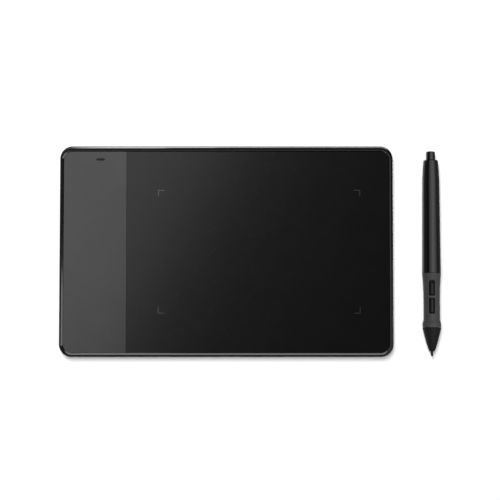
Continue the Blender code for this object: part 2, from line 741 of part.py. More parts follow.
def pen_electronics(surfaces, parent):
    """Coil, pressure sensor, board and switches, in a row along the axis."""
    ferrite, copper, black = surfaces["ferrite"], surfaces["copper"], surfaces["chip_black"]
    turned("ferrite_core", tube(*FERRITE_SPAN, 0.0021, NIB_RADIUS + GAP), ferrite, parent, True, SMALL_STEPS)
    turned("antenna_coil", tube(*COIL_SPAN, 0.0033, 0.0024), copper, parent, True, SMALL_STEPS)
    turned("pressure_sensor", disc(*SENSOR_SPAN, 0.0034), surfaces["nickel"], parent, steps=SMALL_STEPS)
    middle = sum(PEN_BOARD_SPAN) / 2
    size = (0.0064, PEN_BOARD_SPAN[1] - PEN_BOARD_SPAN[0])
    bottom = PEN_BOARD_TOP - PEN_BOARD_THICKNESS
    box("pen_board", (0, middle), size, bottom, PEN_BOARD_TOP, surfaces["board_green"], parent)
    for name, span in (("lower_switch", LOWER_BUTTON), ("upper_switch", UPPER_BUTTON)):
        place = (0, sum(span) / 2)
        made = box(name, place, (0.0034, 0.0034), PEN_BOARD_TOP + SOLDER_GAP, SWITCH_TOP, black, parent)
        plunger = bmesh.new()
        add_rod(plunger, place, 0.0008, SWITCH_TOP - 0.0004, PLUNGER_TOP)
        combine(made, name + "_plunger", plunger, "UNION")


def pen_contacts(surfaces, parent):
    """The cell's centre contact, and the ring that meets the battery tube."""
    start, end = CONTACT_SPAN
    base = start + 0.0004
    contact = [(start, 0), (start, 0.0040), (base, 0.0040), (base + 0.0004, 0.0014), (end, 0.0010), (end, 0)]
    turned("positive_contact", contact, surfaces["brass"], parent, steps=SMALL_STEPS)
    ring = tube(COLLAR_END + GAP, COLLAR_END + 0.0007, 0.0052, 0.0045)
    turned("contact_ring", ring, surfaces["brass"], parent, ring=True)


def pen_nib(surfaces, parent):
    """The replaceable nib, and the holder that passes its pressure on."""
    profile = (
        (0.0, 0),
        (0.0001, 0.00030),
        (0.0004, 0.00055),
        (0.0009, 0.00068),
        (0.0036, 0.00090),
        (0.0046, NIB_RADIUS),
        (NIB_END, NIB_RADIUS),
        (NIB_END, 0),
    )
    turned("nib", profile, surfaces["nib_black"], parent, steps=16)
    start, end = HOLDER_SPAN
    socket_end, socket_radius = NIB_END + GAP, NIB_RADIUS + 0.00015
    cup = [(socket_end, 0), (socket_end, socket_radius), (start, socket_radius)]
    cup += [(start, 0.0019), (end, 0.0019), (end, 0)]
    turned("nib_holder", cup, surfaces["core_grey"], parent, steps=SMALL_STEPS)


def pen_barrel(surfaces, parent):
    """The glossy barrel that covers the cell, with its tail cap, its steel tube and the cell's spring."""
    shoulder = []
    for step in range(1, 8):
        share = step / 7
        radius = SHOULDER_RADIUS + (BARREL_REAR_RADIUS - SHOULDER_RADIUS) * (1 - share**2)
        shoulder.append((SHOULDER_START + (BARREL_END - END_ROUND - SHOULDER_START) * share, radius))
    profile = [(BARREL_START, PEN_RADIUS), (0.0774, 0.00656), (0.0956, 0.00644)]
    profile += [(SHOULDER_START, BARREL_REAR_RADIUS)] + shoulder + [(BARREL_END, SHOULDER_RADIUS - END_ROUND)]
    socket = PLUG_RADIUS + GAP
    profile += [(BARREL_END, socket), (0.1400, socket), (0.1380, 0.0042), (PARTITION_END, 0.0050)]
    profile += [(PARTITION_END, 0.0016), (BORE_END, 0.0016)]
    profile += [(BORE_END, BORE_RADIUS), (BARREL_START, BORE_RADIUS)]
    turned("pen_barrel", profile, surfaces["pen_gloss"], parent, ring=True)

    cap = (
        (PLUG_START, 0),
        (PLUG_START, PLUG_RADIUS),
        (CAP_START, PLUG_RADIUS),
        (CAP_START, CAP_RADIUS - 0.0001),
        (CAP_START + 0.0003, CAP_RADIUS),
        (PEN_LENGTH - 0.0026, CAP_RADIUS),
        (PEN_LENGTH - 0.0006, 0.00310),
        (PEN_LENGTH - 0.0002, 0.00280),
        (PEN_LENGTH, 0.00200),
        (PEN_LENGTH, 0),
    )
    turned("tail_cap", cap, surfaces["pen_gloss"], parent)
    steel_tube = tube(COLLAR_END + 0.0010, BORE_END - 0.0010, TUBE_OUTER, TUBE_INNER)
    turned("battery_tube", steel_tube, surfaces["nickel"], parent, ring=True)
    battery_spring(surfaces["steel"], parent)


def battery_spring(surface, parent):
    """A conical spring between the cell and the barrel's partition."""
    wire = 0.0003
    start, end = CELL_END + wire + GAP, BORE_END - wire - GAP
    turns, per_turn = 4, 12
    curve = bpy.data.curves.new("battery_spring", "CURVE")
    curve.dimensions = "3D"
    curve.bevel_depth = wire
    curve.bevel_resolution = 1
    curve.use_fill_caps = True
    spline = curve.splines.new("POLY")
    spline.points.add(turns * per_turn)
    for i, point in enumerate(spline.points):
        share = i / (turns * per_turn)
        angle = 2 * pi * turns * share
        radius = 0.0026 + 0.0018 * share
        point.co = (radius * cos(angle), start + (end - start) * share, radius * sin(angle), 1)
    curve.materials.append(surface)
    made = bpy.data.objects.new("battery_spring", curve)
    made.parent = parent
    bpy.context.scene.collection.objects.link(made)


def battery(surfaces, parent):
    """An AAA cell with its terminal towards the nib."""
    edge = 0.0003
    can = (
        (CELL_START, 0),
        (CELL_START, CELL_RADIUS - edge),
        (CELL_START + edge, CELL_RADIUS),
        (CELL_END - edge, CELL_RADIUS),
        (CELL_END, CELL_RADIUS - edge),
        (CELL_END, 0),
    )
    turned("battery_cell", can, surfaces["cell_jacket"], parent)
    nub = disc(CELL_START - 0.0008, CELL_START - SOLDER_GAP, 0.0019)
    turned("battery_terminal", nub, surfaces["nickel"], parent, steps=SMALL_STEPS)


# ================================================================ the whole object
def clear_scene():
    for old in list(bpy.data.objects):
        bpy.data.objects.remove(old)


def build_tablet(surfaces):
    tablet = assembly("tablet", (TABLET_X, 0, 0))
    base_cover(surfaces["case_black"], tablet)
    top_frame(surfaces["frame_gloss"], tablet)
    sheets(surfaces, tablet)
    status_light(surfaces, tablet)
    feet(surfaces["foot_rubber"], tablet)
    screws(surfaces["steel"], tablet)
    sensor_stack(surfaces, tablet)
    main_board(surfaces, tablet)
    sensor_link(surfaces, tablet)
    usb_port(surfaces, tablet)


def build_pen(surfaces):
    pen = assembly("pen", (PEN_X, NIB_TIP_Y, PEN_RADIUS))
    nose_cone(surfaces["cone_satin"], pen)
    pen_grip(surfaces["grip_rubber"], pen)
    pen_core(surfaces["core_grey"], pen)
    pen_electronics(surfaces, pen)
    pen_contacts(surfaces, pen)
    pen_nib(surfaces, pen)
    side_button("lower_button", LOWER_BUTTON, LOWER_CROWN, surfaces["cone_satin"], pen)
    side_button("upper_button", UPPER_BUTTON, UPPER_CROWN, surfaces["cone_satin"], pen)
    pen_barrel(surfaces, pen)
    battery(surfaces, pen)


def main():
    clear_scene()
    surfaces = make_materials()
    build_tablet(surfaces)
    build_pen(surfaces)


main()
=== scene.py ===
"""The looks of a slim pen drawing tablet and its battery pen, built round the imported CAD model.

Everything is in metres in the CAD's own frame: +X along the tablet's long side, +Y away from the person
who draws, +Z up from the desk. Pieces of the pen are laid out by their distance from the nib's tip.
"""

import json
from math import cos, pi, radians, sin, tan

import bmesh
import bpy
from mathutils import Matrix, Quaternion, Vector

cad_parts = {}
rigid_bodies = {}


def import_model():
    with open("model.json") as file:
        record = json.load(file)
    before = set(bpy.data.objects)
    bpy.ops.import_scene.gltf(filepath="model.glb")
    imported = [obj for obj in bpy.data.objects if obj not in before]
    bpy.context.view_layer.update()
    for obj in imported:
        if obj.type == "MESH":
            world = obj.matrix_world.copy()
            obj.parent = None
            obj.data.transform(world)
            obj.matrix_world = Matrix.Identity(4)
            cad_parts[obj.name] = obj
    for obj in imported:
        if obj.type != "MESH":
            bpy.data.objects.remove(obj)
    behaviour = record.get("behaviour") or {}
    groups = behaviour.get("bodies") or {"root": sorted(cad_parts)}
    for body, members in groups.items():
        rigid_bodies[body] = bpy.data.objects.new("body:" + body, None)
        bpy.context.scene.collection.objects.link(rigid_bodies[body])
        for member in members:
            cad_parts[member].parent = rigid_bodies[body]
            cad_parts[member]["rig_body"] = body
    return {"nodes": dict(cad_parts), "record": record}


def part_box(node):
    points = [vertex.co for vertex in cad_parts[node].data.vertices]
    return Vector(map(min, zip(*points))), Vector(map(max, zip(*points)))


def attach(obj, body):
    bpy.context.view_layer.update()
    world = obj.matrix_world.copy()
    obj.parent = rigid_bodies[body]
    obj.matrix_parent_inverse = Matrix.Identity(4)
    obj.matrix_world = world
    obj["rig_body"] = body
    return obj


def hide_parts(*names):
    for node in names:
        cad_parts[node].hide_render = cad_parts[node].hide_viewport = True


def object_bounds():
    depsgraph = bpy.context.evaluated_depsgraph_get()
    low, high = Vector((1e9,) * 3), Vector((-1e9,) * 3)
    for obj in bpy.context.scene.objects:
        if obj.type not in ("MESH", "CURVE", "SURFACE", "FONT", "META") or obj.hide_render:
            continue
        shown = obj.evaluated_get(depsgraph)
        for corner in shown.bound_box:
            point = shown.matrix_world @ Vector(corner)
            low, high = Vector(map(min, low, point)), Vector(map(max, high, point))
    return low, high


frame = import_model()
CAD_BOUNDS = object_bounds()
MM = 0.001
MICRON = 0.001 * MM

# -------- places, from the frame
FRAME_LOW, FRAME_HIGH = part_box("top_frame")
COVER_LOW, COVER_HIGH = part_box("base_cover")
SHEET_LOW, SHEET_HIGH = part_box("drawing_sheet")
PANEL_LOW, PANEL_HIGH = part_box("side_panel")
LENS_LOW, LENS_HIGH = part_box("status_lens")
PORT_LOW, PORT_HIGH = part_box("usb_receptacle")
BARREL_LOW, BARREL_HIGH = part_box("pen_barrel")
NIB_TIP_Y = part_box("nib")[0].y
TABLET_X = (FRAME_LOW.x + FRAME_HIGH.x) / 2
TABLET_Y = (FRAME_LOW.y + FRAME_HIGH.y) / 2
HALF_WIDTH = (FRAME_HIGH.x - FRAME_LOW.x) / 2
HALF_DEPTH = (FRAME_HIGH.y - FRAME_LOW.y) / 2
PEN_X = (BARREL_LOW.x + BARREL_HIGH.x) / 2
PEN_Z = (BARREL_LOW.z + BARREL_HIGH.z) / 2

# -------- the tablet's shape
CORNER_RADIUS = 9.2 * MM
CORNER_STEPS, EDGE_STEPS = 20, 12
WALL = 1.6 * MM
EDGE_INSET, EDGE_HEIGHT = 0.9 * MM, 1.1 * MM  # rounding of the rim's outer edge
LAND_INSET, LAND_REAR_EXTRA = 1.4 * MM, 1.35 * MM  # inner end of the rim's flat top
RECESS_INSET = 2.8 * MM
RECESS_EDGE = FRAME_HIGH.z - 0.5 * MM  # foot of the rim's inner chamfer
REAR_EXTRA = 1.0 * MM  # the rear rim is this much wider
PLATE_TOP = SHEET_LOW.z - 0.3 * MM
PLATE_BOTTOM = PLATE_TOP - 1.3 * MM
CURL_INSET, CURL_HEIGHT = 3.4 * MM, 2.8 * MM  # how far the base cover's sides curl in and up
LIP_INSET, LIP_WALL = 1.9 * MM, 0.8 * MM
SEAM = COVER_HIGH.z - 1.4 * MM
SEAM_GAP, SEAM_EDGE = 0.2 * MM, 0.12 * MM
FLOOR_THICKNESS = 1.5 * MM
SNUG = 0.18 * MM  # how much closer than the CAD the sheets come to the rim
SEAM_SNUG = 0.11 * MM  # how much closer than the CAD they come to each other
MARK_BOX = (-49.75 * MM, 97.55 * MM, -45.35 * MM, 44.75 * MM)  # the drawing area, about the tablet's middle
MARK_LEG, MARK_LINE = 4.5 * MM, 0.42 * MM
INK = 0.02 * MM  # how far the printed marks stand up

# -------- the pen's shape
TURN_STEPS = 96
CONE_START, CONE_END = 3.4 * MM, 20.6 * MM
CONE_TIP_RADIUS, CONE_BELLY = 1.55 * MM, 0.73  # the lower the belly's exponent, the fuller the cone
GRIP_START, GRIP_END = 20.9 * MM, 60.3 * MM
PEN_RADIUS = PEN_Z
WAIST_RADIUS = 5.93 * MM
WAIST_START, WAIST_END = 26.6 * MM, 41.0 * MM
BARREL_START, BARREL_END = 60.4 * MM, 142.9 * MM
BORE_RADIUS, BORE_END = 5.75 * MM, 122.5 * MM
COLLAR_START, COLLAR_END = 60.4 * MM, 68.2 * MM
COLLAR_RADIUS = 5.25 * MM
CORE_START, CORE_RADIUS, CORE_BORE = 17.6 * MM, 4.7 * MM, 3.9 * MM
THREAD_PITCH, THREAD_DEPTH, BORE_THREAD_DEPTH = 1.4 * MM, 0.3 * MM, 0.35 * MM
THREAD_START, THREAD_END = COLLAR_START + 1.1 * MM, COLLAR_END - 0.6 * MM
CAP_START, PEN_LENGTH = 143.2 * MM, 149.6 * MM
CAP_RADIUS = 3.27 * MM
CELL_START, CELL_END, CELL_RADIUS = 70.5 * MM, 114.2 * MM, 5.15 * MM
FILM = 0.15 * MM  # the cell's jacket
NIB_RADIUS = 0.95 * MM
SLOT_HALF_WIDTH, BUTTON_HALF_WIDTH = 2.2 * MM, 1.8 * MM
KEYS_X = PEN_X - 0.42 * MM  # the pen lies rolled a little towards the tablet
SLOTS = ((30.7 * MM, 42.3 * MM), (43.7 * MM, 55.0 * MM))
BUTTONS = {  # start, end, and the crown's height above the pen's axis at each of them
    "lower_button": (31.0 * MM, 42.0 * MM, 6.12 * MM, 6.18 * MM),
    "upper_button": (44.0 * MM, 53.4 * MM, 6.20 * MM, 6.55 * MM),
}
BUTTON_BOTTOM = 2.8 * MM


# ======== materials
NOISE_SPAN = (0.3, 0.7)  # where most of a noise's values lie
PATCH_SIZE, HANDLING_SIZE, SCRATCH_SIZE = 18 * MM, 5 * MM, 0.12 * MM


def linked(tree, kind, **inputs):
    """A new shader node with its sockets set to values, or linked to other nodes' outputs."""
    made = tree.nodes.new(kind)
    for name, value in inputs.items():
        socket = made.inputs[name.replace("_", " ")]
        if isinstance(value, bpy.types.NodeSocket):
            tree.links.new(value, socket)
        else:
            socket.default_value = value
    return made


def ranged(tree, value, source, target=(0, 1)):
    """A node that maps a value from one span to another."""
    spans = {"From_Min": source[0], "From_Max": source[1], "To_Min": target[0], "To_Max": target[1]}
    return linked(tree, "ShaderNodeMapRange", Value=value, **spans)


def spread(tree, value, low, high):
    """Maps a noise's usual span to a span of values."""
    return ranged(tree, value, NOISE_SPAN, (low, high)).outputs["Result"]


def risen(tree, value, low, high):
    """0 where a value is low and 1 where it is high, with a smooth rise between."""
    made = ranged(tree, value, (low, high))
    made.interpolation_type = "SMOOTHSTEP"
    return made.outputs["Result"]


def noise(tree, place, size, detail=3.0, stretch=(1, 1, 1)):
    """Noise whose features are about size across, in metres."""
    scale = linked(tree, "ShaderNodeMapping", Vector=place)
    scale.inputs["Scale"].default_value = stretch
    made = linked(tree, "ShaderNodeTexNoise", Vector=scale.outputs["Vector"])
    made.inputs["Scale"].default_value = 1 / size
    made.inputs["Detail"].default_value = detail
    return made.outputs["Fac"]


def mixed(tree, share, first, second):
    """A colour between two colours, by a share from 0 to 1."""
    made = tree.nodes.new("ShaderNodeMix")
    made.data_type = "RGBA"
    tree.links.new(share, made.inputs[0])
    for socket, value in ((made.inputs[6], first), (made.inputs[7], second)):
        if isinstance(value, bpy.types.NodeSocket):
            tree.links.new(value, socket)
        else:
            socket.default_value = (*value, 1.0)
    return made.outputs[2]


def new_material(name):
    """(material, its node tree, its shader, object coordinates)"""
    made = bpy.data.materials.new("look_" + name)
    made.use_nodes = True
    tree = made.node_tree
    place = tree.nodes.new("ShaderNodeTexCoord").outputs["Object"]
    return made, tree, tree.nodes["Principled BSDF"], place


def set_sockets(node, sockets):
    """Sets a node's sockets, by name."""
    for name, value in sockets.items():
        node.inputs[name.replace("_", " ")].default_value = value


def patchy_colour(tree, shader, place, size, colour, shares):
    """A base colour that drifts, in patches of a size, between two shares of itself."""
    patches = spread(tree, noise(tree, place, size), 0, 1)
    dark, light = ([tone * share for tone in colour] for share in shares)
    tree.links.new(mixed(tree, patches, dark, light), shader.inputs["Base Color"])


def add_bump(tree, shader, height, distance, strength):
    """Relief from a height texture whose full height is distance."""
    bump = linked(tree, "ShaderNodeBump", Height=height, Distance=distance, Strength=strength)
    tree.links.new(bump.outputs["Normal"], shader.inputs["Normal"])


def finish(name, colour, roughness, grain, depth, shine=0.5, **sockets):
    """A moulded, painted or plated finish.

    The colour varies a little in broad patches, and the roughness between its two values in finer ones. grain
    is the size of the fine texture and depth its height, in metres. shine is the specular level.
    """
    made, tree, shader, place = new_material(name)
    patchy_colour(tree, shader, place, PATCH_SIZE, colour, (0.93, 1.07))
    handled = noise(tree, place, HANDLING_SIZE, detail=5)
    tree.links.new(spread(tree, handled, *roughness), shader.inputs["Roughness"])
    texture = noise(tree, place, grain, detail=2)
    add_bump(tree, shader, texture, depth, 1.0)
    set_sockets(shader, {"Specular_IOR_Level": shine, **sockets})
    return made


def brushed(name, colour, roughness, along):
    """A metal whose fine scratches run along an axis of the object."""
    made, tree, shader, place = new_material(name)
    stretch = [0.04 if axis == along else 1 for axis in "XYZ"]
    scratches = noise(tree, place, SCRATCH_SIZE, detail=4, stretch=stretch)
    tree.links.new(spread(tree, scratches, *roughness), shader.inputs["Roughness"])
    patchy_colour(tree, shader, place, 6 * MM, colour, (0.88, 1.05))
    add_bump(tree, shader, scratches, 4 * MICRON, 0.6)
    set_sockets(shader, {"Metallic": 1.0})
    return made


def circuit_board(name):
    """Green solder mask with a relief of copper tracks under it."""
    made, tree, shader, place = new_material(name)
    tracks = linked(tree, "ShaderNodeTexBrick", Vector=place, Scale=1 / (14 * MM))
    tracks.offset_frequency = 3
    set_sockets(tracks, {"Mortar_Size": 0.012, "Brick_Width": 0.9, "Row_Height": 0.11})
    track = tracks.outputs["Fac"]
    mask, over_copper = (0.008, 0.060, 0.024), (0.030, 0.150, 0.055)
    tree.links.new(mixed(tree, track, mask, over_copper), shader.inputs["Base Color"])
    add_bump(tree, shader, track, 30 * MICRON, 0.5)
    tree.links.new(spread(tree, noise(tree, place, 3 * MM), 0.28, 0.40), shader.inputs["Roughness"])
    return made


def cell_jacket(name):
    """The cell's printed film: a dark blue body with a pale band and a copper-coloured end."""
    made, tree, shader, place = new_material(name)
    along = linked(tree, "ShaderNodeSeparateXYZ", Vector=place).outputs["Y"]
    share = ranged(tree, along, (NIB_TIP_Y + CELL_START, NIB_TIP_Y + CELL_END)).outputs["Result"]
    ramp = linked(tree, "ShaderNodeValToRGB", Fac=share)
    ramp.color_ramp.interpolation = "CONSTANT"
    bands = ((0.0, (0.42, 0.17, 0.06)), (0.24, (0.55, 0.55, 0.53)), (0.27, (0.020, 0.045, 0.11)))
    while len(ramp.color_ramp.elements) < len(bands):
        ramp.color_ramp.elements.new(1.0)
    for element, (start, colour) in zip(ramp.color_ramp.elements, bands):
        element.position = start
        element.color = (*colour, 1.0)
    foil = spread(tree, noise(tree, place, 0.4 * MM, detail=4), 0, 0.10)
    tree.links.new(mixed(tree, foil, ramp.outputs["Color"], (0.6, 0.6, 0.6)), shader.inputs["Base Color"])
    tree.links.new(spread(tree, noise(tree, place, 4 * MM), 0.22, 0.34), shader.inputs["Roughness"])
    wrinkles = noise(tree, place, 2.5 * MM, stretch=(1, 0.25, 1))
    add_bump(tree, shader, wrinkles, 20 * MICRON, 0.5)
    set_sockets(shader, {"Metallic": 0.35, "Coat_Weight": 0.5})
    return made


def make_looks():
    """Each of the record's material slots, by name."""
    dull = {"shine": 0.12, "Sheen_Weight": 0.05, "Sheen_Roughness": 0.4}
    rubbery = {"shine": 0.42, "Sheen_Weight": 0.12, "Sheen_Roughness": 0.4}
    looks = [
        finish("frame_gloss", (0.0045, 0.0045, 0.005), (0.07, 0.13), 0.5 * MM, 0.4 * MICRON),
        finish("case_black", (0.010, 0.010, 0.011), (0.42, 0.55), 0.30 * MM, 12 * MICRON),
        finish("drawing_black", (0.006, 0.006, 0.0062), (0.25, 0.28), 0.22 * MM, 1 * MICRON, shine=0.095),
        finish("panel_grey", (0.034, 0.034, 0.035), (0.25, 0.28), 0.35 * MM, 1 * MICRON, shine=0.095),
        finish("lens_dark", (0.004, 0.004, 0.005), (0.16, 0.22), 1.0 * MM, 0.4 * MICRON, shine=0.05),
        finish("foot_rubber", (0.032, 0.032, 0.032), (0.75, 0.92), 0.25 * MM, 20 * MICRON),
        finish("pen_gloss", (0.0045, 0.0045, 0.0048), (0.10, 0.16), 0.6 * MM, 0.5 * MICRON),
        finish("grip_rubber", (0.042, 0.042, 0.0425), (0.52, 0.64), 0.16 * MM, 7 * MICRON, **rubbery),
        finish("cone_satin", (0.012, 0.012, 0.012), (0.40, 0.50), 0.14 * MM, 5 * MICRON, **dull),
        finish("nib_black", (0.006, 0.006, 0.006), (0.34, 0.50), 0.10 * MM, 5 * MICRON, shine=0.2),
        finish("core_grey", (0.022, 0.022, 0.024), (0.42, 0.58), 0.25 * MM, 8 * MICRON, shine=0.35),
        finish("pipe_clear", (0.80, 0.82, 0.85), (0.08, 0.2), 0.4 * MM, 2 * MICRON, Transmission_Weight=0.8),
        finish("led_white", (0.82, 0.82, 0.70), (0.25, 0.4), 0.2 * MM, 4 * MICRON),
        finish("film_amber", (0.33, 0.15, 0.03), (0.25, 0.4), 0.5 * MM, 4 * MICRON),
        finish("chip_black", (0.014, 0.014, 0.015), (0.40, 0.60), 0.12 * MM, 6 * MICRON),
        finish("connector_cream", (0.58, 0.54, 0.44), (0.35, 0.5), 0.2 * MM, 5 * MICRON),
        finish("ribbon_white", (0.66, 0.66, 0.64), (0.30, 0.42), 0.4 * MM, 4 * MICRON),
        finish("ferrite", (0.042, 0.040, 0.040), (0.60, 0.80), 0.2 * MM, 12 * MICRON),
        brushed("steel", (0.52, 0.53, 0.55), (0.24, 0.40), "Y"),
        brushed("nickel", (0.62, 0.60, 0.56), (0.18, 0.32), "Y"),
        brushed("brass", (0.72, 0.54, 0.24), (0.18, 0.32), "X"),
        brushed("copper", (0.72, 0.32, 0.14), (0.20, 0.34), "Y"),
        circuit_board("board_green"),
        cell_jacket("cell_jacket"),
    ]
    return {look.name.removeprefix("look_"): look for look in looks}


LOOKS = make_looks()
KEY_SATIN = finish("key_satin", (0.009, 0.009, 0.009), (0.28, 0.38), 0.14 * MM, 4 * MICRON, shine=0.28)
MARK_INK = finish("mark_ink", (0.036, 0.036, 0.036), (0.28, 0.32), 0.2 * MM, 2 * MICRON, shine=0.30)


# ======== mesh tools
SAME_PLACE = 1e-8  # vertices closer than this are one


def rounded(points, radii, closed=False, steps=5):
    """A line through points, with each corner rounded by an arc of about its radius."""
    made = []
    count = len(points)
    for i, (corner, radius) in enumerate(zip(points, radii)):
        corner = Vector(corner)
        if not radius or (not closed and i in (0, count - 1)):
            made.append(tuple(corner))
            continue
        before, after = Vector(points[i - 1]) - corner, Vector(points[(i + 1) % count]) - corner
        half_angle = before.angle(after) / 2
        most = 0.49 * min(before.length, after.length)  # so that two corners' arcs don't meet
        reach = min(radius / tan(half_angle), most)
        start, end = corner + before.normalized() * reach, corner + after.normalized() * reach
        for step in range(steps + 1):
            share = step / steps
            made.append(tuple(start * (1 - share) ** 2 + corner * 2 * share * (1 - share) + end * share**2))
    return made


def rounded_rect(left, right, front, rear, radii):
    """The outline of a rectangle, with radii at rear right, rear left, front left and front right."""
    corners = ((right, rear, 0), (left, rear, 90), (left, front, 180), (right, front, 270))
    outline = []
    for (x, y, start), radius in zip(corners, radii):
        centre_x = x - radius if x == right else x + radius
        centre_y = y - radius if y == rear else y + radius
        for step in range(CORNER_STEPS + 1 if radius else 1):
            angle = radians(start + 90 * step / CORNER_STEPS)
            outline.append((centre_x + radius * cos(angle), centre_y + radius * sin(angle)))
    return outline


def tablet_ring(inset, height, rear_extra=0.0):
    """The tablet's outline at a height, drawn in by inset, and by rear_extra more at the rear."""
    half_width, half_depth = HALF_WIDTH - inset, HALF_DEPTH - inset
    radii = [CORNER_RADIUS - inset] * 4
    outline = rounded_rect(-half_width, half_width, -half_depth, half_depth - rear_extra, radii)
    return [(TABLET_X + x, TABLET_Y + y, height) for x, y in outline]


def stadium(middle, length, width, steps=12):
    """A slot's outline, with round ends, its length along X."""
    half = width / 2
    outline = []
    for side, start in ((1, -90), (-1, 90)):
        for step in range(steps + 1):
            angle = radians(start + 180 * step / steps)
            x = middle.x + side * (length / 2 - half) + half * cos(angle)
            outline.append((x, middle.y + half * sin(angle)))
    return outline


def bridge(solid, row, next_row):
    """Faces between two rows of vertices, either of which may be a single point."""
    count = max(len(row), len(next_row))
    for i in range(count):
        j = (i + 1) % count
        if len(row) == 1:
            solid.faces.new((row[0], next_row[j], next_row[i]))
        elif len(next_row) == 1:
            solid.faces.new((row[i], row[j], next_row[0]))
        else:
            solid.faces.new((row[i], row[j], next_row[j], next_row[i]))


def add_skin(solid, rings, tube=False):
    """Faces from each ring of points to the next. A tube's last ring meets its first; others are capped."""
    rows = [[solid.verts.new(point) for point in ring] for ring in rings]
    for row, next_row in zip(rows, rows[1:]):
        bridge(solid, row, next_row)
    if tube:
        bridge(solid, rows[-1], rows[0])
        return
    for row in (rows[0], rows[-1]):
        if len(row) > 2:
            solid.faces.new(row)


def add_prism(solid, outline, bottom, top):
    """An upright prism on an outline."""
    add_skin(solid, [[(x, y, z) for x, y in outline] for z in (bottom, top)])


def pen_ring(distance, radius, steps=TURN_STEPS):
    """A ring of points round the pen's axis. radius is a number, or a function of the angle."""
    y = NIB_TIP_Y + distance
    if radius == 0:
        return [(PEN_X, y, PEN_Z)]
    ring = []
    for step in range(steps):
        angle = 2 * pi * step / steps
        reach = radius(angle) if callable(radius) else radius
        ring.append((PEN_X + reach * sin(angle), y, PEN_Z + reach * cos(angle)))
    return ring


def turned(profile, ring=False, steps=TURN_STEPS):
    """A solid turned about the pen's axis from a profile of (distance from the nib's tip, radius)."""
    solid = bmesh.new()
    add_skin(solid, [pen_ring(distance, radius, steps) for distance, radius in profile], tube=ring)
    return solid


def level_ring(place, height, radius, steps):
    """A level ring of points round a place, or the one point above it where the radius is 0."""
    angles = [2 * pi * step / steps for step in range(steps if radius else 1)]
    return [(place.x + radius * cos(angle), place.y + radius * sin(angle), height) for angle in angles]


def upright(place, profile, steps=48):
    """A solid turned about an upright axis from a profile of (height, radius)."""
    solid = bmesh.new()
    add_skin(solid, [level_ring(place, height, radius, steps) for height, radius in profile])
    return solid


def placed(name, data):
    """A new object in the scene."""
    made = bpy.data.objects.new(name, data)
    bpy.context.scene.collection.objects.link(made)
    return made


def mesh_of(name, solid):
    """A mesh of a solid, which is used up."""
    bmesh.ops.remove_doubles(solid, verts=solid.verts, dist=SAME_PLACE)
    bmesh.ops.recalc_face_normals(solid, faces=solid.faces)
    mesh = bpy.data.meshes.new(name)
    solid.to_mesh(mesh)
    solid.free()
    return mesh


def carved(name, solid, *cutters):
    """A mesh with the cutters' solids taken out of it."""
    made = placed(name, mesh_of(name, solid))
    helpers = [placed("cutter", mesh_of("cutter", cutter)) for cutter in cutters]
    for helper in helpers:
        boolean = made.modifiers.new("cut", "BOOLEAN")
        boolean.operation = "DIFFERENCE"
        boolean.object = helper
    graph = bpy.context.evaluated_depsgraph_get()
    mesh = bpy.data.meshes.new_from_object(made.evaluated_get(graph))
    for helper in (made, *helpers):
        bpy.data.objects.remove(helper)
    mesh.name = name
    return mesh


def piece(name, shape, slot, body, *nodes, crease=35, look=None):
    """Adds a shape to the scene as one piece, on its body, for the CAD nodes it stands for.

    Its finish is its slot's, or a look of its own. Edges sharper than crease, in degrees, stay sharp.
    """
    mesh = shape if isinstance(shape, bpy.types.Mesh) else mesh_of(name, shape)
    mesh.materials.clear()
    mesh.materials.append(look or LOOKS[slot])
    mesh.shade_smooth()
    mesh.set_sharp_from_angle(angle=radians(crease))
    made = placed(name, mesh)
    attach(made, body)
    if nodes:
        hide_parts(*nodes)


# ======== the tablet's case
def port_cutter():
    """The port's opening, with round corners, through the left wall."""
    middle, lift = (PORT_LOW + PORT_HIGH) / 2, 0.05 * MM
    half_width, half_height, corner = 4.2 * MM, 1.5 * MM, 0.9 * MM
    corners = [(y * half_width, z * half_height) for y, z in ((-1, -1), (1, -1), (1, 1), (-1, 1))]
    outline = rounded(corners, [corner] * 4, closed=True, steps=6)
    ends = (FRAME_LOW.x - 1 * MM, FRAME_LOW.x + 4.5 * MM)
    solid = bmesh.new()
    add_skin(solid, [[(x, middle.y + y, middle.z + lift + z) for y, z in outline] for x in ends])
    return solid


def top_frame():
    """The upper shell, with a softly rounded outer edge, a flat land and a polished inner chamfer."""
    foot, land_edge, chamfer_edge = FRAME_LOW.z + SEAM_GAP, 0.12 * MM, 0.10 * MM
    sections = [(WALL, PLATE_BOTTOM, 0), (WALL, foot, 0), (SEAM_EDGE, foot, 0), (0, foot + SEAM_EDGE, 0)]
    for step in range(EDGE_STEPS + 1):
        angle = radians(90 * step / EDGE_STEPS)
        turned_in = 1 - cos(angle)
        height = FRAME_HIGH.z - EDGE_HEIGHT * (1 - sin(angle))
        sections.append((EDGE_INSET * turned_in, height, REAR_EXTRA * turned_in))
    profile = [
        (EDGE_INSET, FRAME_HIGH.z),
        (LAND_INSET, FRAME_HIGH.z),
        (RECESS_INSET, RECESS_EDGE),
        (RECESS_INSET, PLATE_TOP),
    ]
    softened = rounded(profile, [0, land_edge, chamfer_edge, 0], steps=4)[1:]
    for inset, height in softened:
        down_chamfer = min(max((inset - LAND_INSET) / (RECESS_INSET - LAND_INSET), 0), 1)
        rear_extra = LAND_REAR_EXTRA + (REAR_EXTRA - LAND_REAR_EXTRA) * down_chamfer
        sections.append((inset, height, rear_extra))
    solid = bmesh.new()
    add_skin(solid, [tablet_ring(*section) for section in sections])
    mesh = carved("frame_shell", solid, port_cutter())
    piece("frame_shell", mesh, "frame_gloss", "tablet", "top_frame", crease=14)


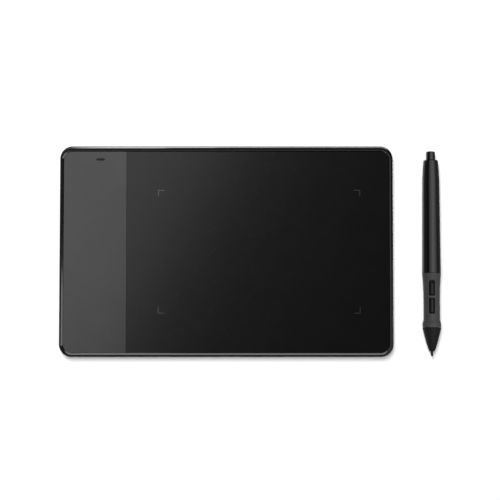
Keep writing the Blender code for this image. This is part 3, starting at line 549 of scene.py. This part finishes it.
def base_cover():
    """The lower shell, whose sides curl in under the tablet, with a round pocket for each foot."""
    floor = COVER_LOW.z
    sections = [(CURL_INSET + 2.0 * MM, floor)]
    for step in range(EDGE_STEPS + 1):
        angle = radians(90 * step / EDGE_STEPS)
        sections.append((CURL_INSET * (1 - sin(angle)), floor + CURL_HEIGHT * (1 - cos(angle))))
    sections += [
        (0, SEAM - SEAM_EDGE),
        (SEAM_EDGE, SEAM),
        (LIP_INSET, SEAM),
        (LIP_INSET, COVER_HIGH.z),
        (LIP_INSET + LIP_WALL, COVER_HIGH.z),
        (LIP_INSET + LIP_WALL, floor + FLOOR_THICKNESS),
    ]
    solid = bmesh.new()
    add_skin(solid, [tablet_ring(*section) for section in sections])
    pockets = bmesh.new()
    pocket_depth, pocket_radius = 1.1 * MM, 6.3 * MM
    for place in foot_places().values():
        ends = (floor - 1 * MM, floor + pocket_depth)
        add_skin(pockets, [level_ring(place, height, pocket_radius, 64) for height in ends])
    mesh = carved("base_shell", solid, pockets, port_cutter())
    piece("base_shell", mesh, "case_black", "tablet", "base_cover")


def foot_places():
    """Each foot's middle, by the name of its CAD node."""
    names = [node for node in frame["nodes"] if node.startswith("foot_")]
    return {name: sum(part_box(name), Vector()) / 2 for name in sorted(names)}


def feet():
    """Four rubber pads with rounded rims and a shallow dish in their soles."""
    draft, dish_depth, dish_inset, flat_inset = 0.05 * MM, 0.12 * MM, 1.6 * MM, 1.0 * MM
    for name, place in foot_places().items():
        low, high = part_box(name)
        radius = (high.x - low.x) / 2
        outer = [(low.z, radius - flat_inset), (low.z, radius - draft), (high.z, radius), (high.z, 0)]
        outer = rounded(outer, [0, 0.5 * MM, 0.15 * MM, 0])
        sole = [(low.z + dish_depth, 0), (low.z + dish_depth, radius - dish_inset)]
        piece(name + "_pad", upright(place, sole + outer), "foot_rubber", "tablet", name)


def sheet_shape(left, right, low, high, radii):
    """A flat sheet with a fine chamfer round its top."""
    chamfer = 0.08 * MM
    front, rear = low.y, high.y
    rings = []
    for inset, height in ((0, low.z), (0, high.z - chamfer), (chamfer, high.z)):
        eased = [max(radius - inset, 0) for radius in radii]
        outline = rounded_rect(left + inset, right - inset, front + inset, rear - inset, eased)
        rings.append([(x, y, height) for x, y in outline])
    solid = bmesh.new()
    add_skin(solid, rings)
    return solid


def sheets():
    """The drawing sheet, the side panel and the status lens set in it."""
    corner = CORNER_RADIUS - RECESS_INSET - 0.3 * MM + SNUG
    snug = Vector((SNUG, SNUG, 0))
    low, high = SHEET_LOW - snug, SHEET_HIGH + snug
    sheet = sheet_shape(SHEET_LOW.x - SEAM_SNUG, high.x, low, high, (corner, 0, 0, corner))
    piece("drawing_surface", sheet, "drawing_black", "tablet", "drawing_sheet", crease=20)
    low, high = PANEL_LOW - snug, PANEL_HIGH + snug
    panel = sheet_shape(low.x, PANEL_HIGH.x + SEAM_SNUG, low, high, (0, corner, corner, 0))
    middle = (LENS_LOW + LENS_HIGH) / 2
    length, width = LENS_HIGH.x - LENS_LOW.x, LENS_HIGH.y - LENS_LOW.y
    slot = bmesh.new()
    play = 0.3 * MM
    outline = stadium(middle, length + play, width + play)
    add_prism(slot, outline, LENS_LOW.z - 1 * MM, LENS_HIGH.z + 1 * MM)
    mesh = carved("panel_surface", panel, slot)
    piece("panel_surface", mesh, "panel_grey", "tablet", "side_panel", crease=20)
    lens = bmesh.new()
    top = LENS_HIGH.z
    crown = [(0.05 * MM, top - 0.06 * MM), (0.2 * MM, top - 0.01 * MM), (0.45 * MM, top)]
    rings = []
    for inset, height in [(0, LENS_LOW.z), (0, top - 0.14 * MM)] + crown:
        outline = stadium(middle, length - 2 * inset, width - 2 * inset)
        rings.append([(x, y, height) for x, y in outline])
    add_skin(lens, rings)
    piece("lens_window", lens, "lens_dark", "tablet", "status_lens")


def corner_marks():
    """Printed angles at the corners of the drawing area."""
    left, right, front, rear = MARK_BOX
    leg, line = MARK_LEG, MARK_LINE
    angle = ((0, 0), (leg, 0), (leg, line), (line, line), (line, leg), (0, leg))
    solid = bmesh.new()
    for x, inward_x in ((left, 1), (right, -1)):
        for y, inward_y in ((front, 1), (rear, -1)):
            outline = [(TABLET_X + x + u * inward_x, TABLET_Y + y + v * inward_y) for u, v in angle]
            add_prism(solid, outline, SHEET_HIGH.z - INK, SHEET_HIGH.z + INK)
    piece("corner_marks", solid, "panel_grey", "tablet", look=MARK_INK)


# ======== the tablet's port
def usb_port():
    """The receptacle's folded shell, its contact tongue and the five contacts under it."""
    wall, edge = 0.3 * MM, 0.06 * MM
    half_width, half_foot, knee_height, corner = 3.75 * MM, 2.95 * MM, 0.8 * MM, 0.5 * MM
    middle = (PORT_LOW.y + PORT_HIGH.y) / 2

    def section(x, inset):
        half, foot = half_width - inset, half_foot - inset
        low, high = PORT_LOW.z + inset, PORT_HIGH.z - inset
        knee = low + knee_height
        points = [(half, high), (-half, high), (-half, knee), (-foot, low), (foot, low), (half, knee)]
        outline = rounded(points, [max(corner - inset, 0.15 * MM)] * 6, closed=True)
        return [(x, middle + y, z) for y, z in outline]

    mouth, back = PORT_LOW.x, PORT_HIGH.x
    rings = [(mouth + edge, 0), (back - edge, 0), (back, edge), (back, wall - edge), (back - edge, wall)]
    rings += [(mouth + edge, wall), (mouth, wall - edge), (mouth, edge)]
    shell = bmesh.new()
    add_skin(shell, [section(x, inset) for x, inset in rings], tube=True)
    piece("port_shell", shell, "nickel", "tablet", "usb_receptacle")

    low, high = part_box("usb_tongue")
    tip_x, root_x, root_front = low.x, high.x, high.x - 1.0 * MM
    under = high.z - 0.5 * MM
    side = [(root_x, low.z), (root_x, high.z), (tip_x, high.z), (tip_x, under)]
    side += [(root_front, under), (root_front, low.z)]
    side = rounded(side, [0.08 * MM] * 6, closed=True, steps=3)
    tongue = bmesh.new()
    add_skin(tongue, [[(x, y, z) for x, z in side] for y in (low.y, high.y)])
    piece("port_tongue", tongue, "chip_black", "tablet", "usb_tongue")

    strips = bmesh.new()
    pitch, half, proud, sunk = 0.65 * MM, 0.15 * MM, 0.06 * MM, 0.02 * MM
    start, end = tip_x + 0.3 * MM, root_x - 1.2 * MM
    for number in range(-2, 3):
        y = middle + number * pitch
        outline = [(start, y - half), (end, y - half), (end, y + half), (start, y + half)]
        add_prism(strips, outline, under - proud, under + sunk)
    piece("port_contacts", strips, "brass", "tablet")


# ======== the pen
def cone_radius(distance):
    """The nose cone's outer radius."""
    share = (distance - CONE_START) / (CONE_END - CONE_START)
    return CONE_TIP_RADIUS + (PEN_RADIUS - CONE_TIP_RADIUS) * max(share, 0) ** CONE_BELLY


def nose_cone():
    """The full-bellied cone that holds the nib."""
    wall, edge, steps, crowding = 1.0 * MM, 0.15 * MM, 40, 1.5  # stations crowd towards the tip
    bore_radius = NIB_RADIUS + 0.3 * MM
    outer = [(CONE_START + 0.05 * MM, NIB_RADIUS + 0.35 * MM), (CONE_START, NIB_RADIUS + 0.45 * MM)]
    for step in range(1, steps + 1):
        distance = CONE_START + (CONE_END - edge - CONE_START) * (step / steps) ** crowding
        outer.append((distance, cone_radius(distance)))
    outer += [(CONE_END, PEN_RADIUS - edge), (CONE_END, PEN_RADIUS - wall)]
    hollow = [(distance * MM, cone_radius(distance * MM) - wall) for distance in (16.5, 14, 12, 10, 8)]
    bore = [(7.0 * MM, bore_radius), (CONE_START + 0.2 * MM, bore_radius)]
    shape = turned(outer + hollow + bore, ring=True)
    piece("cone_shell", shape, "cone_satin", "pen", "nose_cone", crease=40)


def grip_radius(distance):
    """The sleeve's outer radius: a flange, an eased step down to the waist, and a swell up to the barrel."""
    flange_end, dome = 23.2 * MM, 0.16 * MM
    if distance < flange_end:
        return PEN_RADIUS - dome * ((flange_end - distance) / (flange_end - GRIP_START)) ** 2
    if distance < WAIST_START:
        share = (distance - flange_end) / (WAIST_START - flange_end)
        return PEN_RADIUS + (WAIST_RADIUS - PEN_RADIUS) * share * share * (3 - 2 * share)
    share = max(distance - WAIST_END, 0) / (GRIP_END - WAIST_END)
    return WAIST_RADIUS + (PEN_RADIUS - WAIST_RADIUS) * share**2


def slot_cutter(start, end):
    """A button's slot, undercut, with a mouth that flares out to soften its rim."""
    flare, undercut, corner, tight = 0.22 * MM, 0.5 * MM, 0.7 * MM, 0.1 * MM
    mouth = [(0, 0.30 * MM), (flare * 0.35, 0.10 * MM), (flare, 0), (flare, -2 * MM)]
    rings = []
    for grow, drop in [(undercut, None)] + mouth:
        half = SLOT_HALF_WIDTH + grow - tight
        outline = rounded_rect(-half, half, start - grow + tight, end + grow - tight, [corner + grow] * 4)
        ring = []
        for x, distance in outline:
            surface = (grip_radius(distance) ** 2 - x * x) ** 0.5
            height = BUTTON_BOTTOM if drop is None else surface - drop
            ring.append((KEYS_X + x, NIB_TIP_Y + distance, PEN_Z + height))
        rings.append(ring)
    solid = bmesh.new()
    add_skin(solid, rings)
    return solid


def pen_grip():
    """The soft sleeve with its two button slots."""
    inner = CORE_RADIUS + 0.3 * MM
    edge, steps = 0.12 * MM, 78
    profile = [(GRIP_START, grip_radius(GRIP_START) - edge)]
    for step in range(steps + 1):
        distance = GRIP_START + edge + (GRIP_END - GRIP_START - 2 * edge) * step / steps
        profile.append((distance, grip_radius(distance)))
    profile += [(GRIP_END, PEN_RADIUS - edge), (GRIP_END, inner), (GRIP_START, inner)]
    cutters = [slot_cutter(*slot) for slot in SLOTS]
    mesh = carved("grip_sleeve", turned(profile, ring=True), *cutters)
    piece("grip_sleeve", mesh, "grip_rubber", "pen", "pen_grip", crease=40)


def side_buttons():
    """Two long keys with a rounded crown that falls away to all sides."""
    side_fall, end_fall, edge_fall = 0.75 * MM, 0.35 * MM, 0.35 * MM
    corner_radius, spine = 0.55 * MM, 0.03 * MM  # the innermost ring is nearly a line
    for name, (start, end, crown_start, crown_end) in BUTTONS.items():
        rings = []
        for step in range(EDGE_STEPS + 1):
            share = step / EDGE_STEPS
            inset = (BUTTON_HALF_WIDTH - spine) * share**1.5
            half = BUTTON_HALF_WIDTH - inset
            corner = max(corner_radius * (1 - share), 0.01 * MM)
            ring = []
            for x, distance in rounded_rect(-half, half, start + inset, end - inset, [corner] * 4):
                along = (distance - start) / (end - start)
                crown = crown_start + (crown_end - crown_start) * along
                across = side_fall * abs(x / BUTTON_HALF_WIDTH) ** 1.6
                ends = end_fall * (abs(along - 0.5) * 2) ** 6
                edge = edge_fall * (1 - share) ** 3
                ring.append((KEYS_X + x, NIB_TIP_Y + distance, PEN_Z + crown - across - ends - edge))
            rings.append(ring)
        bottom = [(x, y, PEN_Z + BUTTON_BOTTOM) for x, y, _ in rings[0]]
        solid = bmesh.new()
        add_skin(solid, [bottom] + rings)
        piece(name + "_key", solid, "cone_satin", name, name, crease=50, look=KEY_SATIN)


def slot_outline(start, end, corner):
    """An outline as wide as the slots, between two distances from the nib's tip."""
    left, right = KEYS_X - SLOT_HALF_WIDTH, KEYS_X + SLOT_HALF_WIDTH
    return rounded_rect(left, right, NIB_TIP_Y + start, NIB_TIP_Y + end, [corner] * 4)


def dust_seal():
    """A black pad under the gap behind the upper key, which hides the board. It is painted shade: a dark
    sheet that makes the gap look as dark as a deep shadow.
    """
    start, end = BUTTONS["upper_button"][1] + 0.1 * MM, SLOTS[1][1] + 0.4 * MM
    low, high = PEN_Z + 0.6 * MM, PEN_Z + 1.0 * MM
    solid = bmesh.new()
    add_prism(solid, slot_outline(start, end, 0.3 * MM), low, high)
    # painted shade: this black pad stands in for the shadow deep in the gap
    piece("dust_seal", solid, "chip_black", "pen")


def nib():
    """The worn-round nib, in its holder."""
    edge, end = 0.2 * MM, 21.7 * MM
    points = [(0, 0), (0.02 * MM, 0.35 * MM), (0.25 * MM, 0.64 * MM), (0.9 * MM, 0.78 * MM)]
    points += [(3.6 * MM, 0.92 * MM), (4.6 * MM, NIB_RADIUS)]
    points += [(end - edge, NIB_RADIUS), (end, NIB_RADIUS - edge), (end, 0)]
    profile = rounded(points, [0, 0.2 * MM, 0.5 * MM, 1.5 * MM, 1.5 * MM, 2 * MM, 0, 0, 0])
    piece("nib_point", turned(profile, steps=48), "nib_black", "nib", "nib")


def ridge(phase):
    """A thread's height, from 0 to 1, over one turn."""
    return max(cos(2 * pi * phase), 0) ** 0.6


def threaded(start, end, root, height):
    """A profile with a screw thread, which fades in and out at its ends. height is negative in a bore."""
    per_turn, fade_turns = 10, 0.4
    steps = round((end - start) / THREAD_PITCH * per_turn)
    rings = []
    for step in range(steps + 1):
        distance = start + (end - start) * step / steps
        from_end = min(distance - start, end - distance)
        fade = min(1, from_end / (fade_turns * THREAD_PITCH))

        def radius(angle, distance=distance, fade=fade):
            return root + height * fade * ridge(distance / THREAD_PITCH - angle / (2 * pi))

        rings.append((distance, radius))
    return rings


def pen_core():
    """The inner chassis, which shows its threaded collar when the barrel is off."""
    edge, rounding, shoulder = 0.1 * MM, 0.2 * MM, 0.8 * MM
    root = COLLAR_RADIUS - THREAD_DEPTH
    profile = [(CORE_START, CORE_RADIUS), (COLLAR_START, CORE_RADIUS)]
    profile += [(COLLAR_START, COLLAR_RADIUS - edge), (COLLAR_START + edge, COLLAR_RADIUS)]
    profile += [(COLLAR_START + shoulder, COLLAR_RADIUS), (COLLAR_START + shoulder + edge, root)]
    profile += threaded(THREAD_START, THREAD_END, root, THREAD_DEPTH)
    bore, seat = CORE_BORE + 0.4 * MM, COLLAR_END - 4.2 * MM
    profile += [(COLLAR_END - rounding, root), (COLLAR_END, root - rounding), (COLLAR_END, bore + edge)]
    profile += [(COLLAR_END - edge, bore), (seat, bore), (seat, CORE_BORE), (CORE_START, CORE_BORE)]
    opening = bmesh.new()
    for start, end in SLOTS:
        outline = slot_outline(start - 0.2 * MM, end + 0.35 * MM, 0.5 * MM)
        add_prism(opening, outline, PEN_Z + BUTTON_BOTTOM - 0.3 * MM, PEN_Z + PEN_RADIUS)
    mesh = carved("inner_chassis", turned(profile, ring=True), opening)
    piece("inner_chassis", mesh, "core_grey", "pen", "pen_core")


def barrel_radius(distance):
    """The barrel's outer radius: a slow taper, then a rounded shoulder."""
    shoulder_start, narrow, slope, droop = 122.5 * MM, 6.22 * MM, 0.06 * MM, 0.96 * MM
    taper = [(BARREL_START, PEN_RADIUS), (77.4 * MM, 6.56 * MM), (95.6 * MM, 6.44 * MM)]
    taper.append((shoulder_start, narrow))
    if distance >= shoulder_start:
        share = (distance - shoulder_start) / (BARREL_END - shoulder_start)
        return narrow - slope * share - droop * share**2
    for (start, first), (end, second) in zip(taper, taper[1:]):
        if distance <= end:
            return first + (second - first) * (distance - start) / (end - start)


def pen_barrel():
    """The glossy barrel, threaded inside its mouth."""
    edge, rear_edge, steps = 0.1 * MM, 0.5 * MM, 60
    cap_bore, wire_hole, wall_end = 2.75 * MM, 1.6 * MM, 124.0 * MM
    shoulder_end = BARREL_END - rear_edge
    profile = [(BARREL_START, PEN_RADIUS - edge)]
    for step in range(steps + 1):
        distance = BARREL_START + edge + (shoulder_end - BARREL_START - edge) * step / steps
        profile.append((distance, barrel_radius(distance)))
    rear = [(shoulder_end, barrel_radius(shoulder_end)), (BARREL_END, barrel_radius(BARREL_END) - edge)]
    rear += [(BARREL_END, cap_bore + edge)]
    profile += rounded(rear, [0, rear_edge, 0])[1:]
    profile += [(BARREL_END - edge, cap_bore), (140.0 * MM, cap_bore), (138.0 * MM, 4.2 * MM)]
    profile += [(wall_end, 5.0 * MM), (wall_end, wire_hole), (BORE_END, wire_hole), (BORE_END, BORE_RADIUS)]
    profile += threaded(THREAD_START, THREAD_END, BORE_RADIUS, -BORE_THREAD_DEPTH)[::-1]
    profile += [(BARREL_START + edge, BORE_RADIUS), (BARREL_START, BORE_RADIUS + edge)]
    piece("barrel_shell", turned(profile, ring=True), "pen_gloss", "barrel", "pen_barrel", crease=38)


def tail_cap():
    """The short cap on the pen's end, with a softly rounded crown."""
    stem_start, stem_radius = 136.5 * MM, 2.45 * MM
    points = [(stem_start, 0), (stem_start, stem_radius), (CAP_START, stem_radius), (CAP_START, CAP_RADIUS)]
    points += [(147.0 * MM, CAP_RADIUS), (149.15 * MM, 3.10 * MM), (PEN_LENGTH - 0.12 * MM, 1.9 * MM)]
    points += [(PEN_LENGTH, 0)]
    radii = [0, 0.2 * MM, 0, 0.15 * MM, 3 * MM, 0.45 * MM, 2 * MM, 0]
    piece("cap_button", turned(rounded(points, radii)), "pen_gloss", "barrel", "tail_cap", crease=50)


def contacts():
    """The brass ring and spring contact at the collar's end."""
    start, end, outer, inner = COLLAR_END + 0.3 * MM, COLLAR_END + 0.7 * MM, 5.2 * MM, 4.5 * MM
    ring = [(start, outer), (end, outer), (end, inner), (start, inner)]
    ring = rounded(ring, [0.08 * MM] * 4, closed=True, steps=3)
    piece("collar_ring", turned(ring, ring=True), "brass", "pen", "contact_ring")
    low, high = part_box("positive_contact")
    base, tip = low.y - NIB_TIP_Y, high.y - NIB_TIP_Y
    thickness, rim = 0.4 * MM, 4.0 * MM
    points = [(base, 0), (base, rim), (base + thickness, rim), (base + 2 * thickness, 1.4 * MM)]
    points += [(tip, 1.0 * MM), (tip, 0)]
    profile = rounded(points, [0, 0.1 * MM, 0.1 * MM, 0.8 * MM, 0.5 * MM, 0])
    piece("spring_contact", turned(profile, steps=48), "brass", "pen", "positive_contact")


def battery_tube():
    """The steel liner in the barrel, rolled over at its ends."""
    low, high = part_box("battery_tube")
    start, end = low.y - NIB_TIP_Y, high.y - NIB_TIP_Y
    outer, inner = 5.60 * MM, 5.40 * MM
    wall = [(start, outer), (end, outer), (end, inner), (start, inner)]
    wall = rounded(wall, [0.09 * MM] * 4, closed=True, steps=3)
    piece("steel_liner", turned(wall, ring=True), "nickel", "barrel", "battery_tube")


def battery_spring():
    """The conical spring behind the cell, with a closed coil at each end."""
    low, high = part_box("battery_spring")
    wire, small_radius, widening = 0.3 * MM, 2.6 * MM, 1.7 * MM
    start, end = low.y + wire, high.y - wire
    turns, per_turn, closed_turns, crowd = 5, 40, 0.8, 0.08  # crowd is the closed coils' share of the length
    curve = bpy.data.curves.new("cell_spring", "CURVE")
    curve.dimensions = "3D"
    curve.bevel_depth = wire
    curve.bevel_resolution = 4
    curve.use_fill_caps = True
    spline = curve.splines.new("POLY")
    count = turns * per_turn
    spline.points.add(count)
    for i, point in enumerate(spline.points):
        share = i / count
        rise = min(max((share * turns - closed_turns) / (turns - 2 * closed_turns), 0), 1)
        angle = 2 * pi * turns * share
        radius = small_radius + widening * share
        y = start + (end - start) * (rise * (1 - crowd) + crowd * share)
        point.co = (PEN_X + radius * cos(angle), y, PEN_Z + radius * sin(angle), 1)
    curve.materials.append(LOOKS["steel"])
    made = placed("cell_spring", curve)
    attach(made, "barrel")
    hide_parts("battery_spring")


def battery():
    """An AAA cell: a steel can in a printed jacket that wraps over its ends, and the raised terminal."""
    lip_radius, inside = CELL_RADIUS - 0.5 * MM, CELL_RADIUS - FILM
    start, end = CELL_START + FILM, CELL_END - FILM
    jacket = [(CELL_START, lip_radius), (CELL_START, CELL_RADIUS), (CELL_END, CELL_RADIUS)]
    jacket += [(CELL_END, lip_radius), (end, lip_radius), (end, inside), (start, inside), (start, lip_radius)]
    lip, outside, fold = 0.06 * MM, 0.3 * MM, 0.2 * MM
    radii = [lip, outside, outside, lip, lip, fold, fold, lip]
    shape = turned(rounded(jacket, radii, closed=True), ring=True)
    piece("cell_film", shape, "cell_jacket", "battery", "battery_cell")
    low, high, radius = start + 0.03 * MM, end - 0.03 * MM, inside - 0.02 * MM
    can = rounded([(low, 0), (low, radius), (high, radius), (high, 0)], [0, 0.4 * MM, 0.4 * MM, 0])
    piece("cell_can", turned(can), "nickel", "battery")
    tip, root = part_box("battery_terminal")[0].y - NIB_TIP_Y, start + 0.1 * MM
    nub = rounded([(tip, 0), (tip, 1.75 * MM), (root, 1.95 * MM), (root, 0)], [0, 0.35 * MM, 0, 0])
    piece("cell_terminal", turned(nub, steps=48), "nickel", "battery", "battery_terminal")


# ======== pieces kept from the CAD
def refinish_cad():
    """Gives each CAD node the finish of its slot."""
    for part in frame["record"]["subparts"]:
        node = frame["nodes"][part["node"]]
        for slot in node.material_slots:
            slot.material = LOOKS[part["material_slot"]]


# ======== stage, lights and camera
def floor():
    """A broad pale floor that fades out between two distances from its middle."""
    half_size, fade_start, fade_end = 1.2, 0.32, 0.70
    solid = bmesh.new()
    corners = ((1, 1), (-1, 1), (-1, -1), (1, -1))
    solid.faces.new([solid.verts.new((x * half_size, y * half_size, 0)) for x, y in corners])
    made = placed("floor", mesh_of("floor", solid))
    material, tree, shader, place = new_material("floor")
    colour = mixed(tree, noise(tree, place, 0.6), (0.78, 0.78, 0.78), (0.82, 0.82, 0.82))
    tree.links.new(colour, shader.inputs["Base Color"])
    far = tree.nodes.new("ShaderNodeVectorMath")
    far.operation = "LENGTH"
    tree.links.new(place, far.inputs[0])
    tree.links.new(risen(tree, far.outputs["Value"], fade_end, fade_start), shader.inputs["Alpha"])
    set_sockets(shader, {"Roughness": 0.9, "Specular_IOR_Level": 0.1})
    made.data.materials.append(material)
    made.visible_glossy = False
    return made


def world():
    """White where it is seen. In reflections, a dim sky over a ground that stands for the floor."""
    white, pale, dim, low_sky, high_sky = ((tone,) * 3 for tone in (1.02, 1.1, 0.22, 0.20, 0.05))
    made = bpy.data.worlds.new("studio")
    made.use_nodes = True
    tree = made.node_tree
    direction = tree.nodes.new("ShaderNodeTexCoord").outputs["Generated"]
    axes = linked(tree, "ShaderNodeSeparateXYZ", Vector=direction).outputs
    ground_end, low_end, high_start = (sin(radians(elevation)) for elevation in (-16, 6, 30))
    ground = mixed(tree, risen(tree, axes["X"], -0.95, -0.25), pale, dim)  # pale at the left
    sky = mixed(tree, risen(tree, axes["Z"], low_end, high_start), low_sky, high_sky)
    both = mixed(tree, risen(tree, axes["Z"], ground_end, low_end), ground, sky)
    seen = tree.nodes.new("ShaderNodeLightPath").outputs["Is Camera Ray"]
    tree.links.new(mixed(tree, seen, both, white), tree.nodes["Background"].inputs["Color"])
    bpy.context.scene.world = made


def softbox(name, place, size, radiance, aim, receivers, roll=0.0):
    """An area light that looks at aim and lights only its receivers.

    size is in metres, radiance in watts per square metre per steradian, and roll, round its axis, in degrees.
    """
    data = bpy.data.lights.new(name, "AREA")
    data.shape = "RECTANGLE"
    data.size, data.size_y = size
    data.energy = radiance * pi * size[0] * size[1]
    made = placed(name, data)
    facing = (place - aim).to_track_quat("Z", "Y")
    made.location = place
    made.rotation_mode = "QUATERNION"
    made.rotation_quaternion = facing @ Quaternion((0, 0, 1), radians(roll))
    made.visible_camera = False
    made.light_linking.receiver_collection = receivers


def around(aim, azimuth, elevation, distance):
    """A place round aim. Azimuth 0, in degrees, is at +Y and 90 at +X."""
    a, e = radians(azimuth), radians(elevation)
    return aim + distance * Vector((sin(a) * cos(e), cos(a) * cos(e), sin(e)))


def group(name, objects):
    """A collection for light linking."""
    made = bpy.data.collections.new(name)
    for member in objects:
        made.objects.link(member)
    return made


SHEET_PIECES = ("drawing_surface", "panel_surface", "lens_window", "corner_marks")
REAR_LEFT, REAR_FAR_SIDE, REAR_HEIGHT, REAR_RADIANCE = -0.155, 0.60, 0.22, 10.0
REAR_STEPS = ((-0.075, 0.155), (-0.030, 0.225), (0.030, 0.320), (0.130, 0.400))  # (right end, near side)


def sheet_light(tablet, receivers):
    """One broad softbox behind the tablet's left, whose shine fades across the sheets."""
    place = around(tablet, azimuth=-34.6, elevation=62.3, distance=0.536)
    softbox("sheet_key", place, (0.849, 0.303), 6.2, tablet, receivers, roll=30)


def case_lights(tablet, receivers):
    """Softboxes round the case, one or more for each side of its rim."""
    low, high = around(tablet, 8, 18, 1.0), around(tablet, 0, 52, 1.3)
    softbox("rear_low", low, size=(0.95, 0.40), radiance=11.0, aim=tablet, receivers=receivers)
    softbox("rear_high", high, size=(1.2, 0.26), radiance=3.7, aim=tablet, receivers=receivers)
    left_end = REAR_LEFT
    for right_end, near_side in REAR_STEPS:  # in the rear rim, they thin the shine out towards the right
        size = (right_end - left_end, REAR_FAR_SIDE - near_side)
        below = Vector(((left_end + right_end) / 2, (near_side + REAR_FAR_SIDE) / 2, 0))
        place = below + Vector((0, 0, REAR_HEIGHT))
        softbox(f"rear_to_{right_end:+.3f}", place, size, REAR_RADIANCE, below, receivers)
        left_end = right_end
    height = Vector((0, 0, 0.85))
    for name, below, length, radiance, aim in (
        ("right", Vector((0.41, -0.26, 0)), 0.6, 3.6, Vector((TABLET_X, -0.26, 0))),
        ("left", Vector((-0.42, 0, 0)), 0.9, 0.8, Vector((TABLET_X, 0, 0))),
        ("front", Vector((-0.02, -0.585, 0)), 0.9, 1.2, Vector((-0.02, TABLET_Y, 0))),
    ):
        softbox(name, below + height, (length, 0.24), radiance, aim, receivers)


def pen_lights(pen, pen_things):
    """Nested softboxes over the pen, which give its shine soft edges, and two fills for its grip."""
    pen_lit = group("pen_lit", pen_things)
    for number, half_angle in enumerate((15, 35, 50)):
        distance = 0.90 - 0.02 * number
        width = 2 * distance * tan(radians(half_angle))
        place = around(pen, 90, 73, distance)
        softbox(f"over_pen_{half_angle}", place, (1.5, width), 0.62, pen, pen_lit)
    grip_lit = group("grip_lit", [made for made in pen_things if made.name in ("grip_sleeve", "cone_shell")])
    sleeve_lit = group("sleeve_lit", [made for made in pen_things if made.name == "grip_sleeve"])
    flange = Vector((PEN_X, NIB_TIP_Y + GRIP_START, PEN_Z))
    softbox("before_flange", flange + Vector((0, -0.071, 0.064)), (0.06, 0.06), 2.5, flange, sleeve_lit)
    softbox("left_of_grip", around(pen, -90, 25, 0.6), (0.5, 0.3), 1.0, pen, grip_lit)


def lights(floor_object):
    """Separate soft light for the sheets, the case, the pen and the floor."""
    shown = [made for made in bpy.data.objects if made.type in ("MESH", "CURVE")]
    sheet_things = [made for made in shown if made.name in SHEET_PIECES]
    tablet_things = [made for made in shown if made.get("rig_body") == "tablet" and made not in sheet_things]
    pen_things = [made for made in shown if made.get("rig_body") not in (None, "tablet")]
    tablet = Vector((TABLET_X, TABLET_Y, FRAME_HIGH.z))
    sheet_light(tablet, group("sheet_lit", sheet_things))
    case_lights(tablet, group("case_lit", tablet_things))
    pen_lights(Vector((PEN_X, TABLET_Y, PEN_Z)), pen_things)
    over_floor = tablet + Vector((-0.12, 0.28, 1.98))
    softbox("over_floor", over_floor, (0.40, 1.46), 31.0, tablet, group("floor_lit", [floor_object]))


def camera():
    """Nearly straight above, leaning a little towards the person who draws."""
    distance, lean, field = 1.2, radians(3.8), 0.3640  # field is the width seen at the aim
    middle = (CAD_BOUNDS[0] + CAD_BOUNDS[1]) / 2
    aim = Vector((middle.x - 0.12 * MM, middle.y + 0.8 * MM, FRAME_HIGH.z))
    data = bpy.data.cameras.new("camera")
    data.sensor_width = 36
    data.lens = data.sensor_width * distance / field
    data.clip_start, data.clip_end = 0.01, 100
    made = placed("camera", data)
    made.location = aim + distance * Vector((0, -sin(lean), cos(lean)))
    made.rotation_euler = (lean, 0, 0)
    bpy.context.scene.camera = made


refinish_cad()
top_frame()
base_cover()
feet()
sheets()
corner_marks()
usb_port()
nose_cone()
pen_grip()
side_buttons()
dust_seal()
nib()
pen_core()
pen_barrel()
tail_cap()
contacts()
battery_tube()
battery_spring()
battery()
world()
lights(floor())
camera()
bpy.context.scene.view_settings.view_transform = "Standard"
